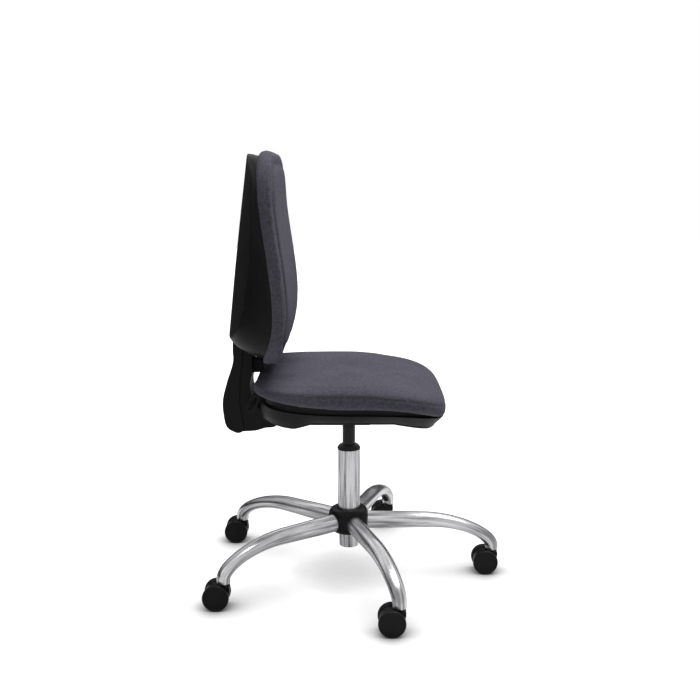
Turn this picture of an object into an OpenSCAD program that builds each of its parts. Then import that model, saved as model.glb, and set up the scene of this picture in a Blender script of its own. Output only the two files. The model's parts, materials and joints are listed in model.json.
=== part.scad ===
// Armless office chair: chrome five-leg base on twin-wheel casters, gas lift,
// upholstered seat on a contoured pan, and a height-adjustable back on a J-shaped bar.
// X points the way the sitter faces, Z up, the floor is Z = 0.

/* [Base] */
// Radius of the circle on which the casters swivel
base_r = 320; // [260:5:380]
// Height of the leg's centre line at the hub
leg_root_z = 121.5; // [110:0.5:140]
// Height of the leg's section at the hub
leg_root_h = 39; // [30:1:42]
// Width of the leg's section at the hub
leg_root_w = 37; // [30:1:40]
// Height of the leg's section in the bend
leg_bend_h = 26; // [22:1:30]
// Diameter of the leg's round outer end
leg_end_d = 28.6; // [26:0.2:32]
// Wall of the leg tube
leg_wall = 2; // [1.5:0.1:3]
// Distance from the column at which the leg starts to bend
leg_bend_x = 170; // [140:5:200]
// Distance from a hub face to the column's axis
hub_face_r = 39.5; // [37:0.5:46]
// Height of the hub's underside
hub_z = 100; // [95:1:102]
// Height of the hub
hub_h = 47; // [42:1:55]

/* [Casters] */
// Radius of a caster wheel
wheel_r = 27.5; // [25:0.5:30]
// Width of one wheel of the twin
wheel_w = 16; // [14:0.5:18]
// Width of the hood between the two wheels
hood_w = 19; // [16:0.5:22]
// Horizontal distance from the swivel to the wheel axle
trail = 14.7; // [12:0.1:18]
// Diameter of the caster stem
stem_d = 11; // [10:0.5:12]
// Length of the stem inside the leg
stem_grip = 24; // [20:1:30]
// Diameter of the wheel axle
axle_d = 6; // [5:0.5:8]
// Height of the leg's end face above the floor
leg_end_z = 53; // [52:0.5:58]

/* [Gas lift] */
// Diameter of the column tube at its top
column_d = 50; // [46:1:56]
// Diameter of the column tube at its lower end
column_foot_d = 42.4; // [40:0.2:44]
// Wall of the column tube
column_wall = 2; // [1.5:0.1:3]
// Height of the column tube's lower end
column_z = 63; // [58:1:70]
// Height of the column tube's top
column_top_z = 286; // [270:1:300]
// Diameter of the gas cylinder
cylinder_d = 28; // [26:1:30]
// Wall of the gas cylinder
cylinder_wall = 2; // [1.5:0.1:3]
// Height of the gas cylinder's lower end in the photographed setting
cylinder_z = 122; // [118:1:130]
// Diameter of the piston rod
rod_d = 10; // [8:0.5:12]

/* [Mechanism] */
// Height of the mechanism's underside
mech_z = 350; // [348:0.5:352]
// Outer width of the mechanism housing
mech_w = 98; // [90:1:110]
// Wall of the mechanism housing
mech_wall = 3; // [2:0.5:4]
// Distance from the column's axis back to the tilt pivot
pivot_back = 110; // [90:1:125]
// Height of the tilt pivot
pivot_z = 363; // [362:0.5:364]
// Diameter of the tilt pivot pin
pivot_d = 12; // [10:0.5:14]

/* [Seat] */
// Overall length of the cushion
seat_len = 394; // [360:2:430]
// Overall width of the cushion
seat_w = 442; // [400:2:480]
// Rear edge of the cushion behind the column, just ahead of the upright
seat_rear = 190.5; // [186:0.5:193]
// Height of the top of the cushion over the column
seat_top_z = 467; // [460:0.5:478]
// Height of the cushion's lower edge at mid length
seat_edge_z = 427; // [424:1:432]
// Height of the pan's underside
pan_z = 382; // [380:0.5:385]
// Wall of the pan
pan_wall = 3; // [2.5:0.5:4]
// Thickness of the seat board
seat_board_t = 11.5; // [9:0.5:13]
// Spacing of the bolt holes offered to an arm bracket
arm_hole_pitch = 64; // [50:1:80]

/* [Back] */
// Overall height of the back cushion
back_h = 424; // [400:2:440]
// Height of the middle of the back cushion
back_mid_z = 715; // [705:1:730]
// Greatest width of the back cushion
back_w = 430; // [380:2:470]
// Width lost towards the top of the back cushion
back_taper = 36; // [0:1:60]
// Thickness of the back cushion at its border
back_pad_t = 27.5; // [24:0.5:34]
// Wall of the back shell
shell_wall = 3; // [2:0.5:4]
// Thickness of the back board
back_board_t = 9; // [6:0.5:10]
// Width of the steel back bar
bar_w = 50; // [40:1:56]
// Thickness of the steel back bar
bar_t = 8; // [6:0.5:9]
// Width of the moulded cover over the back bar
cover_w = 92; // [84:1:96]

/* [Hidden] */
$fn = 64;

// Clearances that several pieces share, and the overrun of every cut
overrun = 1;
fit_gap = 0.05;
seat_gap = 0.3;

// The legs stand evenly round the column, and the footprint's middle is X = 0
leg_count = 5;
leg_step = 360 / leg_count;
foot_front = base_r + leg_end_d / 2;
foot_rear = base_r * cos(leg_step / 2) + trail + wheel_r;
column_x = -(foot_front - foot_rear) / 2;

function lerp(a, b, t) = a + (b - a) * t;
function mean(list) = [for (item = list) 1] * list / len(list);
function unit(v) = v / norm(v);
// Superellipse: power 2 is an ellipse, higher powers come near a rectangle
function oval_reach(power, turn) =
    pow(pow(abs(cos(turn)), power) + pow(abs(sin(turn)), power), -1 / power);
function oval_x(half, power, turn) = half * cos(turn) * oval_reach(power, turn);
function oval_y(half, power, turn) = half * sin(turn) * oval_reach(power, turn);
function turns(count) = [for (i = [0:count - 1]) 360 * (i + 0.5) / count];
function bezier(a, b, c, d, t) =
    a * pow(1 - t, 3) + b * 3 * t * pow(1 - t, 2) + c * 3 * t * t * (1 - t) + d * pow(t, 3);
function spline(a, b, c, d, t) =
    (2 * b + (c - a) * t + (2 * a - 5 * b + 4 * c - d) * t * t
        + (3 * b - a - 3 * c + d) * t * t * t) / 2;
// Smooth curve through a list of points
function smooth(points, steps) = concat(
    [for (i = [0:len(points) - 2], s = [0:steps - 1])
        spline(points[max(0, i - 1)], points[i], points[i + 1],
            points[min(len(points) - 1, i + 2)], s / steps)],
    [points[len(points) - 1]]
);
function reversed(list) = [for (i = [len(list) - 1:-1:0]) list[i]];

// Closed solid through equal rings of points, each end closed round its middle
module ring_solid(rings) {
    count = len(rings[0]);
    last = len(rings) - 1;
    points = concat([for (ring = rings) each ring], [mean(rings[0]), mean(rings[last])]);
    sides = [
        for (k = [0:last - 1], i = [0:count - 1])
            let (a = k * count + i, b = k * count + (i + 1) % count)
                each [[a, a + count, b + count], [a, b + count, b]]
    ];
    first_cap = [for (i = [0:count - 1]) [len(points) - 2, i, (i + 1) % count]];
    last_cap = [
        for (i = [0:count - 1])
            [len(points) - 1, last * count + (i + 1) % count, last * count + i]
    ];
    polyhedron(points = points, faces = concat(sides, first_cap, last_cap), convexity = 6);
}

// Side profile drawn in X and Z, given a width that is centred on the chair
module across(width) {
    translate([0, width / 2, 0]) rotate([90, 0, 0]) linear_extrude(width) children();
}

module at_column() {
    translate([column_x, 0, 0]) children();
}

module at_leg(number) {
    at_column() rotate([0, 0, leg_step * (number - 1)]) children();
}

// The casters hang under the leg ends and trail towards the back of the chair
module at_caster(number) {
    turn = leg_step * (number - 1);
    at_column() translate([base_r * cos(turn), base_r * sin(turn), 0]) children();
}

// Legs: a tapered tube runs level, bends down and ends in a short upright collar
leg_socket = 12;
leg_in_r = hub_face_r - leg_socket + seat_gap;
leg_collar_h = 8;
leg_sides = 20;
leg_stations = 9;
leg_hollow_sides = 8;
leg_hollow_stations = 5;
leg_curve = [
    [leg_bend_x, leg_root_z],
    [lerp(leg_bend_x, base_r, 0.56), leg_root_z],
    [base_r, lerp(leg_root_z, leg_end_z, 0.52)],
    [base_r, leg_end_z + leg_collar_h]
];

// Place, direction and section of the leg at share t of its bend
function leg_place(t) = bezier(leg_curve[0], leg_curve[1], leg_curve[2], leg_curve[3], t);
function leg_slope(t) =
    let (ahead = leg_place(min(1, t + 0.01)) - leg_place(max(0, t - 0.01)))
        atan2(ahead[1], ahead[0]);
function leg_height(t) =
    t < 0.6 ? lerp(lerp(leg_root_h, leg_bend_h, 0.33), leg_bend_h, sin(150 * t))
            : lerp(leg_bend_h, leg_end_d, (t - 0.6) / 0.4);
function leg_width(t) = lerp(leg_root_w, leg_end_d, pow(t, 1.5));
function leg_ring(place, slope, high, wide, sides) = [
    for (turn = turns(sides))
        let (up = high / 2 * sin(turn))
            [place[0] - up * sin(slope), wide / 2 * cos(turn), place[1] + up * cos(slope)]
];
function leg_rings(inset, sides, root_x, last_t, stations) = concat(
    [for (x = [root_x, hub_face_r])
        leg_ring([x, leg_root_z], 0, leg_root_h - 2 * inset, leg_root_w - 2 * inset, sides)],
    [for (i = [0:stations])
        let (t = last_t * i / stations)
            leg_ring(leg_place(t), leg_slope(t), leg_height(t) - 2 * inset,
                leg_width(t) - 2 * inset, sides)]
);

socket_wall = 2.5;
socket_cap = 2;
socket_flange_h = 1.5;
socket_flange_d = 20;
socket_bore_d = stem_d + 2 * fit_gap;
socket_d = socket_bore_d + 2 * socket_wall;
socket_len = stem_grip + socket_cap;

module leg(number) {
    color("silver") at_leg(number) difference() {
        ring_solid(concat(
            leg_rings(0, leg_sides, leg_in_r, 1, leg_stations),
            [leg_ring([base_r, leg_end_z], -90, leg_end_d, leg_end_d, leg_sides)]
        ));
        ring_solid(leg_rings(leg_wall, leg_hollow_sides, leg_in_r - overrun, 0.8,
            leg_hollow_stations));
        translate([base_r, 0, leg_end_z - overrun])
            cylinder(d = socket_d + 2 * fit_gap, h = socket_len + fit_gap + overrun);
    }
}

// Sleeves that grip the caster stems, with a flange under each leg end
module stem_sockets() {
    color("dimgray") for (number = [1:leg_count]) at_caster(number)
        translate([0, 0, leg_end_z - socket_flange_h - fit_gap]) difference() {
            union() {
                cylinder(d = socket_flange_d, h = socket_flange_h);
                cylinder(d = socket_d, h = socket_flange_h + socket_len);
            }
            translate([0, 0, -overrun])
                cylinder(d = socket_bore_d, h = socket_flange_h + stem_grip + overrun);
        }
}

// Outside of the column: a taper up to the shoulder, then straight
column_shoulder_z = 185;
function column_r(z) =
    lerp(column_foot_d, column_d, min(1, (z - column_z) / (column_shoulder_z - column_z))) / 2;

module base_hub() {
    corner_r = 47.5;
    crown_h = 4;
    collar_w = 5;
    color("#1d1d1e") at_column() difference() {
        union() {
            translate([0, 0, hub_z]) intersection() {
                rotate([0, 0, leg_step / 2])
                    cylinder(r = hub_face_r / cos(leg_step / 2), h = hub_h - crown_h, $fn = leg_count);
                cylinder(r = corner_r, h = hub_h - crown_h);
            }
            translate([0, 0, hub_z + hub_h - crown_h - overrun])
                cylinder(r1 = hub_face_r, r2 = column_r(hub_z + hub_h) + collar_w, h = crown_h + overrun);
        }
        translate([0, 0, hub_z - overrun])
            cylinder(
                r1 = column_r(hub_z - overrun) + fit_gap,
                r2 = column_r(hub_z + hub_h + overrun) + fit_gap,
                h = hub_h + 2 * overrun
            );
        for (i = [0:leg_count - 1]) rotate([0, 0, leg_step * i])
            translate([hub_face_r - leg_socket, 0, leg_root_z]) rotate([0, 90, 0])
                linear_extrude(leg_socket + corner_r) scale([leg_root_h / leg_root_w, 1])
                    circle(d = leg_root_w + 2 * seat_gap);
    }
}

rod_hole_r = rod_d / 2 + seat_gap;
column_floor_t = 4;

module column_tube() {
    lip = 1;
    color("silver") at_column() rotate_extrude() polygon([
        [column_foot_d / 2, column_z],
        [column_d / 2, column_shoulder_z],
        [column_d / 2, column_top_z - lip],
        [column_d / 2 - lip, column_top_z],
        [column_d / 2 - column_wall, column_top_z],
        [column_d / 2 - column_wall, column_shoulder_z],
        [column_foot_d / 2 - column_wall, column_z + column_floor_t],
        [rod_hole_r, column_z + column_floor_t],
        [rod_hole_r, column_z]
    ]);
}

cylinder_r = cylinder_d / 2;

// Guide bush in the column's mouth, with a domed collar over its rim
module column_bush() {
    bush_len = 70;
    rim_h = 2.5;
    dome_h = 11;
    dome_r = cylinder_r + rim_h;
    bore_r = cylinder_r + fit_gap;
    sleeve_r = column_d / 2 - column_wall - fit_gap;
    rim_z = column_top_z + fit_gap;
    color("#1b1b1c") at_column() rotate_extrude() polygon([
        [bore_r, column_top_z - bush_len],
        [sleeve_r, column_top_z - bush_len],
        [sleeve_r, rim_z],
        [column_d / 2, rim_z],
        [column_d / 2, rim_z + rim_h],
        [lerp(dome_r, column_d / 2, 0.8), lerp(rim_z + rim_h, rim_z + dome_h, 0.5)],
        [lerp(dome_r, column_d / 2, 0.4), lerp(rim_z + rim_h, rim_z + dome_h, 0.85)],
        [dome_r, rim_z + dome_h],
        [bore_r, rim_z + dome_h]
    ]);
}

bearing_h = 6;
bearing_r = 12;
bearing_z = column_z + column_floor_t + fit_gap;

// Two washers with a ring of balls between them
module thrust_bearing() {
    washer_h = 1.6;
    ball_count = 10;
    ball_r = (bearing_h - 2 * washer_h) / 2;
    color("gray") at_column() {
        difference() {
            union() {
                translate([0, 0, bearing_z]) cylinder(r = bearing_r, h = washer_h);
                translate([0, 0, bearing_z + bearing_h - washer_h])
                    cylinder(r = bearing_r, h = washer_h);
            }
            translate([0, 0, bearing_z - overrun])
                cylinder(r = rod_hole_r, h = bearing_h + 2 * overrun);
        }
        for (i = [0:ball_count - 1]) rotate([0, 0, 360 * i / ball_count])
            translate([(bearing_r + rod_hole_r) / 2, 0, bearing_z + bearing_h / 2])
                sphere(r = ball_r - fit_gap / 2, $fn = 24);
    }
}

clip_t = 1.5;
clip_z = column_z - clip_t - seat_gap;
groove_depth = 1;

// Spring clip in the rod's groove, under the column's floor
module rod_clip() {
    clip_w = 4;
    color("gray") at_column() translate([0, 0, clip_z]) difference() {
        cylinder(r = rod_d / 2 + clip_w, h = clip_t);
        translate([0, 0, -overrun])
            cylinder(r = rod_d / 2 - groove_depth + fit_gap, h = clip_t + 2 * overrun);
    }
}

// Rod with a collar on the bearing, a piston head and a groove for the clip
module piston_rod() {
    tail = 3;
    collar_h = 3;
    head_z = 224;
    head_h = 8;
    collar_z = bearing_z + bearing_h + fit_gap;
    groove_r = rod_d / 2 - groove_depth;
    head_r = cylinder_r - cylinder_wall - fit_gap;
    color("lightgray") at_column() rotate_extrude() polygon([
        [0, clip_z - fit_gap - tail],
        [rod_d / 2, clip_z - fit_gap - tail],
        [rod_d / 2, clip_z - fit_gap],
        [groove_r, clip_z - fit_gap],
        [groove_r, clip_z + clip_t + fit_gap],
        [rod_d / 2, clip_z + clip_t + fit_gap],
        [rod_d / 2, collar_z],
        [bearing_r, collar_z],
        [bearing_r, collar_z + collar_h],
        [rod_d / 2, collar_z + collar_h],
        [rod_d / 2, head_z],
        [head_r, head_z],
        [head_r, head_z + head_h],
        [0, head_z + head_h]
    ]);
}

// Gas cylinder: a gland at its foot and a taper at its top that wedges in the mechanism
taper_drop = 0.7;
taper_len = 18;
cylinder_top_z = mech_z + taper_len;
valve_d = 4;
function taper_r(z) = cylinder_r - taper_drop * (z - mech_z) / taper_len;

module gas_cylinder() {
    gland_h = 10;
    crown_h = 10;
    bore_r = cylinder_r - cylinder_wall;
    color("#18181a") at_column() rotate_extrude() polygon([
        [rod_d / 2 + fit_gap, cylinder_z],
        [bore_r, cylinder_z],
        [cylinder_r, cylinder_z + cylinder_wall],
        [cylinder_r, mech_z],
        [taper_r(cylinder_top_z), cylinder_top_z],
        [valve_d / 2 + fit_gap, cylinder_top_z],
        [valve_d / 2 + fit_gap, cylinder_top_z - crown_h],
        [bore_r, cylinder_top_z - crown_h],
        [bore_r, cylinder_z + gland_h],
        [rod_d / 2 + fit_gap, cylinder_z + gland_h]
    ]);
}

valve_rise = 4.5;
valve_head_h = 2;
valve_head_d = 7;
lever_z = cylinder_top_z + valve_rise + valve_head_h + seat_gap;

module valve_pin() {
    valve_len = 12;
    color("silver") at_column() translate([0, 0, cylinder_top_z + valve_rise]) {
        translate([0, 0, -valve_len]) cylinder(d = valve_d, h = valve_len);
        cylinder(d = valve_head_d, h = valve_head_h);
    }
}

// Twin wheels: a dished face inside a rim ring, a round tread and a blind axle bore
wheel_gap = 0.5;
wheel_in_y = hood_w / 2 + wheel_gap;
wheel_out_y = wheel_in_y + wheel_w;
axle_len = 2 * lerp(wheel_in_y, wheel_out_y, 0.7);

module wheel() {
    tread_round = 2;
    shoulder_drop = 2.2;
    shoulder_w = 5.2;
    dish = 1.4;
    recess = 2;
    face_r = wheel_r * 0.86;
    boss_r = axle_d * 1.4;
    bore_r = axle_d / 2 + fit_gap / 2;
    bore_y = axle_len / 2 + fit_gap;
    rotate([-90, 0, 0]) rotate_extrude() polygon([
        [bore_r, wheel_in_y],
        [boss_r, wheel_in_y],
        [boss_r, wheel_in_y + recess],
        [face_r, wheel_in_y + recess],
        [face_r, wheel_in_y],
        [wheel_r - shoulder_drop, wheel_in_y],
        [wheel_r - shoulder_drop * 0.85, wheel_in_y + shoulder_w * 0.42],
        [wheel_r, wheel_in_y + shoulder_w],
        [wheel_r, wheel_out_y - tread_round * 1.5],
        [wheel_r - tread_round / 2, wheel_out_y - tread_round / 2],
        [wheel_r - tread_round, wheel_out_y],
        [face_r, wheel_out_y],
        [face_r - dish, wheel_out_y - dish],
        [face_r * 0.55, wheel_out_y - dish * 0.45],
        [0, wheel_out_y - dish * 0.1],
        [0, bore_y],
        [bore_r, bore_y]
    ]);
}

module caster_wheels(number) {
    color("#202021") at_caster(number) translate([-trail, 0, wheel_r]) {
        wheel();
        mirror([0, 1, 0]) wheel();
    }
}

module caster_axle(number) {
    color("gray") at_caster(number) translate([-trail, 0, wheel_r]) rotate([90, 0, 0])
        cylinder(d = axle_d, h = axle_len, center = true);
}

hood_top_z = leg_end_z - socket_flange_h - seat_gap - fit_gap;
stem_foot_z = lerp(wheel_r, hood_top_z, 0.2);

// Hood: a round web between the wheels that grows into a neck round the stem
module caster_hood(number) {
    hood_in = 3;
    neck_r = 13;
    neck_h = 10;
    color("#1a1a1b") at_caster(number) difference() {
        union() {
            translate([-trail, 0, wheel_r]) across(hood_w) hull() {
                circle(r = wheel_r - hood_in, $fn = 32);
                translate([trail, hood_top_z - neck_h - wheel_r]) square([neck_r, neck_h / 2]);
                translate([trail, -neck_h / 2]) square([neck_r * 0.8, neck_h / 2]);
            }
            translate([0, 0, hood_top_z - neck_h]) cylinder(r = neck_r, h = neck_h);
            translate([0, 0, hood_top_z - 2 * neck_h]) cylinder(r1 = hood_w / 2, r2 = neck_r, h = neck_h);
        }
        translate([-trail, 0, wheel_r]) rotate([90, 0, 0])
            cylinder(d = axle_d + fit_gap, h = hood_w + 2 * overrun, center = true);
        translate([0, 0, stem_foot_z]) cylinder(d = stem_d + fit_gap, h = hood_top_z);
        translate([-2 * wheel_r, -wheel_r, hood_top_z]) cube([3 * wheel_r, 2 * wheel_r, neck_h]);
        for (side = [-1, 1]) translate([-trail, side * (wheel_in_y + wheel_out_y) / 2, wheel_r])
            rotate([90, 0, 0])
                cylinder(r = wheel_r + wheel_gap, h = wheel_w + 2 * wheel_gap, center = true);
    }
}

// Stem with a groove near its top for the sleeve's grip
module caster_stem(number) {
    ring_depth = 0.8;
    ring_h = 4;
    stem_top_z = leg_end_z + stem_grip - 2 * ring_depth;
    stem_len = stem_top_z - stem_foot_z - fit_gap;
    color("silver") at_caster(number) translate([0, 0, stem_foot_z + fit_gap]) {
        cylinder(d = stem_d, h = stem_len - 2 * ring_h);
        translate([0, 0, stem_len - 2 * ring_h]) cylinder(d = stem_d - 2 * ring_depth, h = ring_h);
        translate([0, 0, stem_len - ring_h]) cylinder(d = stem_d, h = ring_h - ring_depth);
        translate([0, 0, stem_len - ring_depth])
            cylinder(d1 = stem_d, d2 = stem_d - 2 * ring_depth, h = ring_depth);
    }
}

// Mechanism: a pressed channel that holds the taper socket and the tilt pivot
mech_front = 45;
mech_back = 150;
mech_floor_back = 82;
mech_fold = 5;
plate_t = 3;
plate_front = 92;
plate_w = 190;
plate_z = pan_z - plate_t - fit_gap;
bolt_x = [-88, 60];
bolt_y = 78;
bolt_d = 8;
bolt_gap = 0.3;
pivot_x = -pivot_back;
socket_r = 20;
lever_t = 2.5;
lever_w = 14;
rocker_r = 3;
height_lever_y = (mech_w - mech_wall) / 2;

module at_pivot() {
    translate([pivot_x, 0, pivot_z]) rotate([90, 0, 0]) children();
}

module mechanism_housing() {
    wall_h = plate_z - fit_gap - mech_z;
    channel_w = mech_w - 2 * mech_wall;
    slot_w = lever_w + 2 * seat_gap;
    slot_z = lever_z - rocker_r - fit_gap;
    color("#222223") at_column() difference() {
        translate([-mech_back, 0, mech_z]) rotate([90, 0, 90]) linear_extrude(mech_back + mech_front)
            polygon([
                [-mech_w / 2, wall_h],
                [-mech_w / 2, mech_fold],
                [-mech_w / 2 + mech_fold * 0.3, mech_fold * 0.3],
                [-mech_w / 2 + mech_fold, 0],
                [mech_w / 2 - mech_fold, 0],
                [mech_w / 2 - mech_fold * 0.3, mech_fold * 0.3],
                [mech_w / 2, mech_fold],
                [mech_w / 2, wall_h]
            ]);
        translate([-mech_floor_back, -channel_w / 2, mech_z + mech_wall])
            cube([mech_floor_back + mech_front - mech_wall, channel_w, wall_h]);
        translate([-mech_back - overrun, -channel_w / 2, mech_z - overrun])
            cube([mech_back - mech_floor_back + overrun, channel_w, wall_h + 2 * overrun]);
        translate([0, 0, mech_z - overrun]) cylinder(r = socket_r + fit_gap, h = wall_h);
        at_pivot() cylinder(d = pivot_d + fit_gap, h = mech_w + 2 * overrun, center = true);
        translate([-slot_w / 2, 0, slot_z]) cube([slot_w, mech_w, wall_h]);
    }
}

module taper_socket() {
    color("gray") at_column() difference() {
        translate([0, 0, mech_z]) cylinder(r = socket_r, h = taper_len * 0.9);
        translate([0, 0, mech_z - overrun])
            cylinder(
                r1 = taper_r(mech_z - overrun) + fit_gap,
                r2 = taper_r(cylinder_top_z) + fit_gap,
                h = taper_len + overrun
            );
    }
}

module at_bolts() {
    for (x = bolt_x, side = [-1, 1]) translate([x, side * bolt_y, 0]) children();
}

module mechanism_plate() {
    color("#222223") at_column() difference() {
        translate([-mech_back, -plate_w / 2, plate_z])
            cube([mech_back + plate_front, plate_w, plate_t]);
        at_bolts() translate([0, 0, plate_z - overrun])
            cylinder(r = bolt_d / 2 + bolt_gap, h = plate_t + 2 * overrun);
    }
}

board_gap = 3;
board_z = seat_edge_z - board_gap - seat_board_t;

module seat_bolts() {
    head_d = 13;
    head_h = 5;
    color("silver") at_column() at_bolts() {
        translate([0, 0, plate_z - fit_gap - head_h]) cylinder(d = head_d, h = head_h, $fn = 6);
        translate([0, 0, plate_z - fit_gap])
            cylinder(d = bolt_d, h = board_z + seat_board_t * 0.8 - plate_z);
    }
}

// Levers end in a loop that a finger hooks
loop_len = 44;
loop_w = 21;
loop_bar = 6;
loop_t = 7;

module loop_outline(inset) {
    for (x = [0, loop_len - loop_w]) translate([x, 0]) circle(r = loop_w / 2 - inset);
    translate([0, inset - loop_w / 2]) square([loop_len - loop_w, loop_w - 2 * inset]);
}

// The loop starts with the middle of its end bar at the origin and runs along X
module lever_loop() {
    translate([(loop_w - loop_bar) / 2, 0, 0]) linear_extrude(loop_t, center = true) difference() {
        loop_outline(0);
        loop_outline(loop_bar);
    }
}

// Flat bar over the valve, rocking on the housing's left wall, that slopes out to the side
module height_lever() {
    reach = 205;
    fall = 9;
    inner_y = -valve_head_d / 2 + seat_gap;
    bend_y = height_lever_y + 2 * rocker_r;
    arm_len = reach - loop_len - bend_y;
    color("#1c1c1d") at_column() {
        translate([-lever_w / 2, inner_y, lever_z]) cube([lever_w, bend_y - inner_y, lever_t]);
        translate([0, height_lever_y, lever_z]) rotate([0, 90, 0])
            cylinder(r = rocker_r, h = lever_w, center = true);
        translate([0, bend_y, lever_z]) rotate([-fall, 0, 0]) {
            translate([-lever_w / 2, -lever_t / 2, 0]) cube([lever_w, arm_len + loop_bar, lever_t]);
            translate([0, arm_len, lever_t / 2]) rotate([0, 0, 90]) lever_loop();
        }
    }
}

back_lever_x = -150;
back_lever_y = -70;
back_lever_z = 401;
back_lever_w = 8;
loop_root = [-194, 422];
loop_turn = -118;
lever_block_y = -45;
lever_block_w = 14;

// The loop hangs behind the seat on an arm that leaves the pan through its rear wall
module back_lever() {
    arm_t = 3;
    rod_in = 15;
    color("#262627") at_column() {
        translate([back_lever_x, lever_block_y + rod_in, back_lever_z]) rotate([90, 0, 0])
            cylinder(d = back_lever_w, h = lever_block_y + rod_in - back_lever_y + arm_t / 2);
        translate([0, back_lever_y, 0]) across(arm_t) hull() {
            translate([back_lever_x, back_lever_z]) circle(d = back_lever_w, $fn = 32);
            translate(loop_root) circle(d = back_lever_w, $fn = 32);
        }
        translate([loop_root[0], back_lever_y, loop_root[1]]) rotate([90, 0, 0])
            rotate([0, 0, loop_turn]) lever_loop();
    }
}

module lever_block() {
    block_len = 15;
    foot_z = pan_z + pan_wall + fit_gap;
    block_h = back_lever_z + back_lever_w - foot_z;
    color("#303031") at_column() difference() {
        translate([back_lever_x - block_len / 3, lever_block_y - lever_block_w / 2, foot_z])
            cube([block_len, lever_block_w, block_h]);
        translate([back_lever_x, lever_block_y, back_lever_z]) rotate([90, 0, 0])
            cylinder(r = back_lever_w / 2 + fit_gap, h = lever_block_w + 2 * overrun, center = true);
    }
}

// Seat: its lower edge rises at the rear and drops at the front, and its top falls away
edge_rise = 25;
edge_drop = 32;
top_rear_drop = 5;
top_drop = 24;
nose_drop = 12;
seat_crown = 4;
seat_round = 20;
seat_points = 60;
seat_power = 5;
seat_mid_x = seat_len / 2 - seat_rear;
function seat_share(x) = (x - seat_mid_x) / (seat_len / 2);
function fore(x, power) = pow(max(0, seat_share(x)), power);
function aft(x, power) = pow(max(0, -seat_share(x)), power);
function seat_edge(x) = seat_edge_z + edge_rise * aft(x, 2) - edge_drop * fore(x, 3.3);
function seat_top(x) =
    seat_top_z - top_rear_drop * aft(x, 2) - top_drop * fore(x, 1.5) - nose_drop * fore(x, 6);
function seat_xy(inset, turn) = [
    seat_mid_x + oval_x(seat_len / 2 - inset[0], seat_power, turn),
    oval_y(seat_w / 2 - inset[1], seat_power, turn)
];
function seat_ring(inset, share, lift) = [
    for (turn = turns(seat_points))
        let (p = seat_xy([inset, inset], turn))
            [p[0], p[1], lerp(seat_edge(p[0]), seat_top(p[0]), share) + lift]
];
function seat_flat(inset, z) = [
    for (turn = turns(seat_points))
        let (p = seat_xy(inset, turn)) [p[0], p[1], z]
];
pan_rim_inset = 22;

module seat_cushion() {
    // Inset as a share of the rounding, then height as a share from edge to top
    profile_shares = [
        [0.65, 0], [0.22, 0.16], [0, 0.42], [0.04, 0.62], [0.14, 0.7],
        [0.36, 0.745], [0.3, 0.79], [0.5, 0.87], [1.05, 0.955], [2.1, 1]
    ];
    drop_inset = pan_rim_inset + 3 * pan_wall;
    foot_z = board_z + seat_board_t + seat_gap;
    foot_inset = drop_inset + seat_round * 0.75;
    color("#63626e") at_column() ring_solid(concat(
        [seat_flat([2.4 * foot_inset, 2.4 * foot_inset], foot_z)],
        [seat_flat([foot_inset, foot_inset], foot_z)],
        [seat_ring(drop_inset, 0, 0)],
        [seat_ring(pan_rim_inset + pan_wall / 2, 0, 0)],
        [for (p = profile_shares) seat_ring(p[0] * seat_round, p[1], 0)],
        [seat_ring(4.5 * seat_round, 1, seat_crown)]
    ));
}

// Pan: a shallow tray that flares to a step, then rises to a rim under the cushion's edge
pan_floor_in = [28, 56];
plate_margin = 13.5;
pan_level_in = [seat_mid_x + seat_len / 2 - plate_front - plate_margin, 90];
pan_dip = 9;
pan_push = 14;
pan_fold = 4;
pan_fold_h = 4;
pan_side_in = [16, 23];
pan_step_in = [22, 29];
pan_step_share = 0.58;
boss_d = 20;
boss_top_z = board_z - seat_gap;
arm_hole_x = 20;
arm_hole_y = 132;
arm_hole_d = 8.5;
function grown(inset, by) = [inset[0] + by, inset[1] + by];
// The pan reaches further under the cushion's front edge than under its sides and rear
function pan_xy(inset, turn) =
    let (p = seat_xy(inset, turn), fore = max(0, p[0] - seat_mid_x) / (seat_len / 2))
        [p[0] + pan_push * pow(fore, 4), p[1]];
// The floor is level over the mechanism, and dips towards the front edge and the rear corners
pan_rear_dip = 5.5;
pan_rear_x = [-75, -112];
pan_rear_y = [130, 168];
function rise(ends, value) = max(0, min(1, (value - ends[0]) / (ends[1] - ends[0])));
function pan_floor_ring(inset, lift) = [
    for (turn = turns(seat_points))
        let (
            p = pan_xy(inset, turn),
            front_x = seat_mid_x + seat_len / 2,
            front_dip = pan_dip * rise([front_x - pan_level_in[0], front_x - pan_floor_in[0]], p[0]),
            rear_dip = pan_rear_dip * rise(pan_rear_x, p[0]) * rise(pan_rear_y, abs(p[1])),
            share = rise([pan_level_in[0], pan_floor_in[0]], inset[0])
        )
            [p[0], p[1], pan_z - (front_dip + rear_dip) * share + lift]
];
function pan_ring(inset, share, lift) = [
    for (turn = turns(seat_points))
        let (p = pan_xy(inset, turn)) [p[0], p[1], lerp(pan_z, seat_edge(p[0]), share) + lift]
];

module at_arm_holes() {
    for (x = [-1, 1], side = [-1, 1])
        translate([arm_hole_x + x * arm_hole_pitch / 2, side * arm_hole_y, 0]) children();
}

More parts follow.
